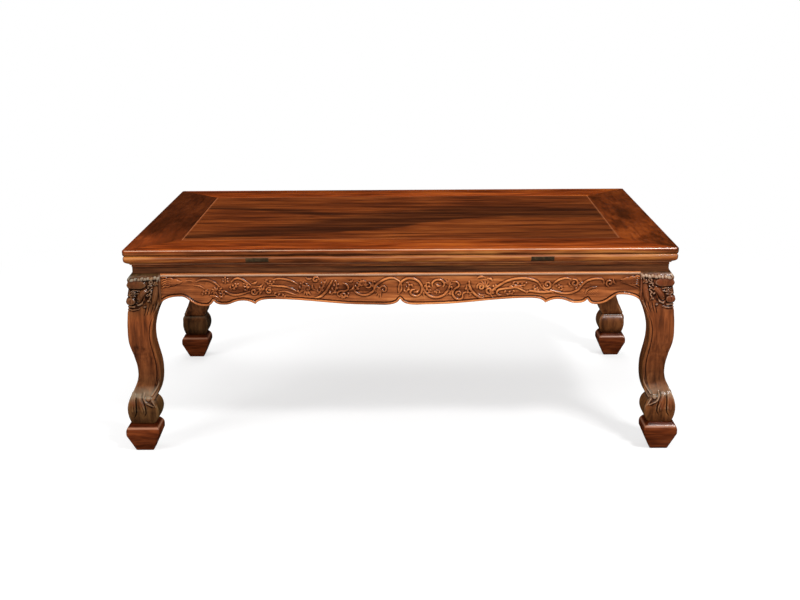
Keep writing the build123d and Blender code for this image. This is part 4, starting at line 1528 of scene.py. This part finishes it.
# %% Smooth masses
MASSES = (
    (16.4, 253.4, 18.6, 8.2, 0), (26.2, 238.8, 5.6, 11.5, -37), (8.6, 228.6, 8.0, 6.2, 0),
    (44.6, 238.0, 4.6, 15.0, -9), (16.2, 73.0, 4.6, 13.0, 0), (4.6, 73.0, 4.6, 13.0, 0),
)
MASK_TOP, MASK_BOTTOM, MASK_SINK = 262, 212, 2.0
TOP_FADE, BOTTOM_FADE = 4, 12
SEAM_INSET = 50.0


def mass_share(piece):
    """For every vertex of a leg, 1 on the smooth masses of the carving and 0 away from them."""
    places, normals = skin_arrays(piece)
    on_front = normals[:, 1] < normals[:, 0]
    across = np.where(on_front, places[:, 0] - CORNER.x, places[:, 1] - CORNER.y) / MM
    up = places[:, 2] / MM
    share = np.zeros(len(places))
    for inset, height, half_width, half_height, tilt in MASSES:
        cosine, sine = math.cos(math.radians(tilt)), math.sin(math.radians(tilt))
        wide = ((across - inset) * cosine + (up - height) * sine) / half_width
        high = ((up - height) * cosine - (across - inset) * sine) / half_height
        share = np.maximum(share, np.clip(2 * (1 - np.hypot(wide, high)), 0, 1))
    return share


def sink_mask(piece):
    """Set the outer faces back between the top roll and the knee, and leave the masses standing."""
    places, normals = skin_arrays(piece)
    heights = places[:, 2] / MM
    from_top, from_bottom = (MASK_TOP - heights) / TOP_FADE, (heights - MASK_BOTTOM) / BOTTOM_FADE
    window = np.clip(from_top, 0, 1) * np.clip(from_bottom, 0, 1)
    outward = np.clip(-normals[:, :2].min(axis=1) * 2 - 0.8, 0, 1)
    depth = MASK_SINK * MM * window * outward * (1 - mass_share(piece))
    set_places(piece, places - normals * depth[:, None])


def mark_polish(piece):
    """Keep what is smooth as an attribute that the finish reads: the masses, and the edge at the apron."""
    places, _ = skin_arrays(piece)
    across = (places[:, :2] - np.array(CORNER[:2])).max(axis=1) / MM
    polish = np.maximum(mass_share(piece), np.clip(across - SEAM_INSET, 0, 1))
    piece.data.attributes.new("polish", "FLOAT", "POINT").data.foreach_set("value", polish)


# %% [markdown]
# A carver rounds the leg's head before the mask is drawn on it, so that the roll of curls lies over a
# soft shoulder. Here the skin near the top is drawn in to a quarter of an ellipse, whose half sizes
# are how far in and how far down the rounding goes.

# %% The round shoulder
SHOULDER_IN, SHOULDER_DOWN = 8.0, 12.0
SHOULDER_BAND = 10 * MM


def round_shoulder(piece):
    """Round the two outer edges of the leg's top to a quarter of an ellipse."""
    places, _ = skin_arrays(piece)
    top = places[:, 2].max()
    near_top = places[:, 2] > top - SHOULDER_BAND
    up = (places[:, 2] - top) / (SHOULDER_DOWN * MM) + 1
    for axis in (0, 1):
        middle = places[near_top, axis].min() + SHOULDER_IN * MM
        outward = (middle - places[:, axis]) / (SHOULDER_IN * MM)
        inside = (outward > 0) & (up > 0)
        share = np.minimum(1, 1 / np.maximum(np.hypot(outward, up), 0.1))
        places[inside, axis] = (middle - outward * share * SHOULDER_IN * MM)[inside]
        places[inside, 2] = (top + (up * share - 1) * SHOULDER_DOWN * MM)[inside]
    set_places(piece, places)


# %% [markdown]
# The blank gets a coarse skin and its round shoulder. Forms are seated on it, joined and grown over
# with a finer skin. A gouge then cuts the lines on both faces, on smooth curves through their points.


# %% Lines for the gouge
def smooth_lines(strokes, steps=6):
    """Strokes with more points, on a smooth curve through the given ones."""
    finer = []
    for points, width, ends in strokes:
        line = [Vector((*p, 0)) for p in points]
        line = [2 * line[0] - line[1], *line, 2 * line[-1] - line[-2]]
        curve = []
        for a, b, c, d in zip(line[:-3], line[1:-2], line[2:-1], line[3:]):
            for step in range(steps):
                t = step / steps
                bend, twist = 2 * a - 5 * b + 4 * c - d, 3 * b - a - 3 * c + d
                curve.append(0.5 * (2 * b + (c - a) * t + bend * t**2 + twist * t**3))
        curve.append(line[-2])
        finer.append(([(p.x, p.y) for p in curve], width, ends))
    return finer


def across_corner(line):
    """A line's mirror image about the corner, on the side face."""
    return [ACROSS_CORNER @ point for point in line]


# %% Carve one leg
FIRST_VOXEL = 1.2 * MM
LEG_TRIANGLES = 170000


def carved_leg():
    """The front left leg with its mask, beads and claw."""
    leg = blank_from("leg_front_left", "leg_front_left_carved")
    grow_skin(leg, [], FIRST_VOXEL)
    round_shoulder(leg)
    skin = skin_tree(leg)
    sink_mask(leg)
    sunk = skin_tree(leg)
    forms = [knob(sunk, *form) for form in mask_knobs]
    forms += [knob(skin, *form) for form in (*ROLL_CURLS, DEWCLAW)]
    for surface, strokes, lift in (
        (sunk, mask_lines, 0.9), (sunk, mask_masses, -2.7), (sunk, mane_locks, -1.5),
        (skin, leg_beads, 0.3), (skin, toe_masses, -2.4),
    ):
        forms.append(bars("strokes", on_skin(surface, strokes, lift)))
    forms += [other_half(form) for form in forms]
    grow_skin(leg, forms, LEG_VOXEL)
    carved = skin_tree(leg)
    for strokes, width, depth in LEG_CUTS:
        lines = [points for points, _, _ in on_skin(carved, smooth_lines(strokes))]
        gouge(leg, lines + [across_corner(line) for line in lines], width, depth)
    mark_hollows(leg)
    mark_polish(leg)
    thin_out(leg, LEG_TRIANGLES)
    return leg


# %% One leg becomes four
MIRRORS = {
    "front_right": Matrix.Diagonal((-1, 1, 1, 1)),
    "back_left": Matrix.Diagonal((1, -1, 1, 1)),
    "back_right": Matrix.Diagonal((-1, -1, 1, 1)),
}


def four_corners(piece, kind, ending, finish):
    """Mirror a front left piece to the other corners, and let all four take their nodes' places."""
    for corner, turn in MIRRORS.items():
        node = f"{kind}_{corner}"
        stand_for(turned_copy(piece, f"{node}_{ending}", turn), node, finish)
    stand_for(piece, f"{kind}_front_left", finish)
    print("four pieces:", kind)


four_corners(carved_leg(), "leg", "carved", "leg_wood")

# %% [markdown]
# ## The worn frame
# Sharp arrises don't survive on a table that is used: they are rubbed round, and so are the top's four
# corners. Each rail is a copy of its solid. Its corner tips are sliced off by upright planes that turn
# round the corner, and a bevel then softens every arris. A bevel keeps the flats flat, where a voxel
# remesh would make the polished top ripple.

# %% Four worn rails
CORNER_ROUND = 9 * MM
CORNER_SLICES = 5
ARRIS_ROUND = 0.7 * MM
SHARP_ANGLE = math.radians(35)
SMOOTH_ANGLE = math.radians(30)


def slice_corner(piece, side_x, side_y):
    """Cut a corner's tip off with upright planes, each a step further round it."""
    pivot = Vector((side_x * (half_x - CORNER_ROUND), side_y * (half_y - CORNER_ROUND), 0))
    for step in range(CORNER_SLICES):
        angle = math.pi / 2 * (step + 1) / (CORNER_SLICES + 1)
        outward = Vector((side_x * math.cos(angle), side_y * math.sin(angle), 0))
        only(piece)
        bpy.ops.object.mode_set(mode="EDIT")
        bpy.ops.mesh.select_all(action="SELECT")
        bpy.ops.mesh.bisect(
            plane_co=pivot + outward * CORNER_ROUND, plane_no=outward, use_fill=True, clear_outer=True
        )
        bpy.ops.object.mode_set(mode="OBJECT")


def worn_rail(node, finish):
    """A rail with its corner tips and arrises rubbed round."""
    rail = blank_from(node, node + "_worn")
    for side_x in (-1, 1):
        for side_y in (-1, 1):
            slice_corner(rail, side_x, side_y)
    apply_modifier(
        rail, "BEVEL", width=ARRIS_ROUND, segments=3, limit_method="ANGLE", angle_limit=SHARP_ANGLE
    )
    only(rail)
    bpy.ops.object.shade_smooth_by_angle(angle=SMOOTH_ANGLE)
    stand_for(rail, node, finish)
    return len(rail.data.polygons)


for side in ("front", "back"):
    print("long rail", side, "has", worn_rail("long_rail_" + side, "frame_wood"), "faces")
for side in ("left", "right"):
    print("short rail", side, "has", worn_rail("short_rail_" + side, "short_rail_" + side), "faces")

# %% [markdown]
# ## The pads
# Each foot stands on a square pad, polished until its arrises went round. A voxel remesh of the ready
# solid, smoothed again and again, wears the arrises the way years of polishing did.

# %% Four polished pads
PAD_VOXEL = 0.6 * MM
PAD_SMOOTHINGS = 14
PAD_TRIANGLES = 24000
pad = blank_from("foot_pad_front_left", "foot_pad_front_left_polished")
grow_skin(pad, [], PAD_VOXEL)
apply_modifier(pad, "SMOOTH", factor=0.5, iterations=PAD_SMOOTHINGS)
thin_out(pad, PAD_TRIANGLES)
four_corners(pad, "foot_pad", "polished", "pad_wood")
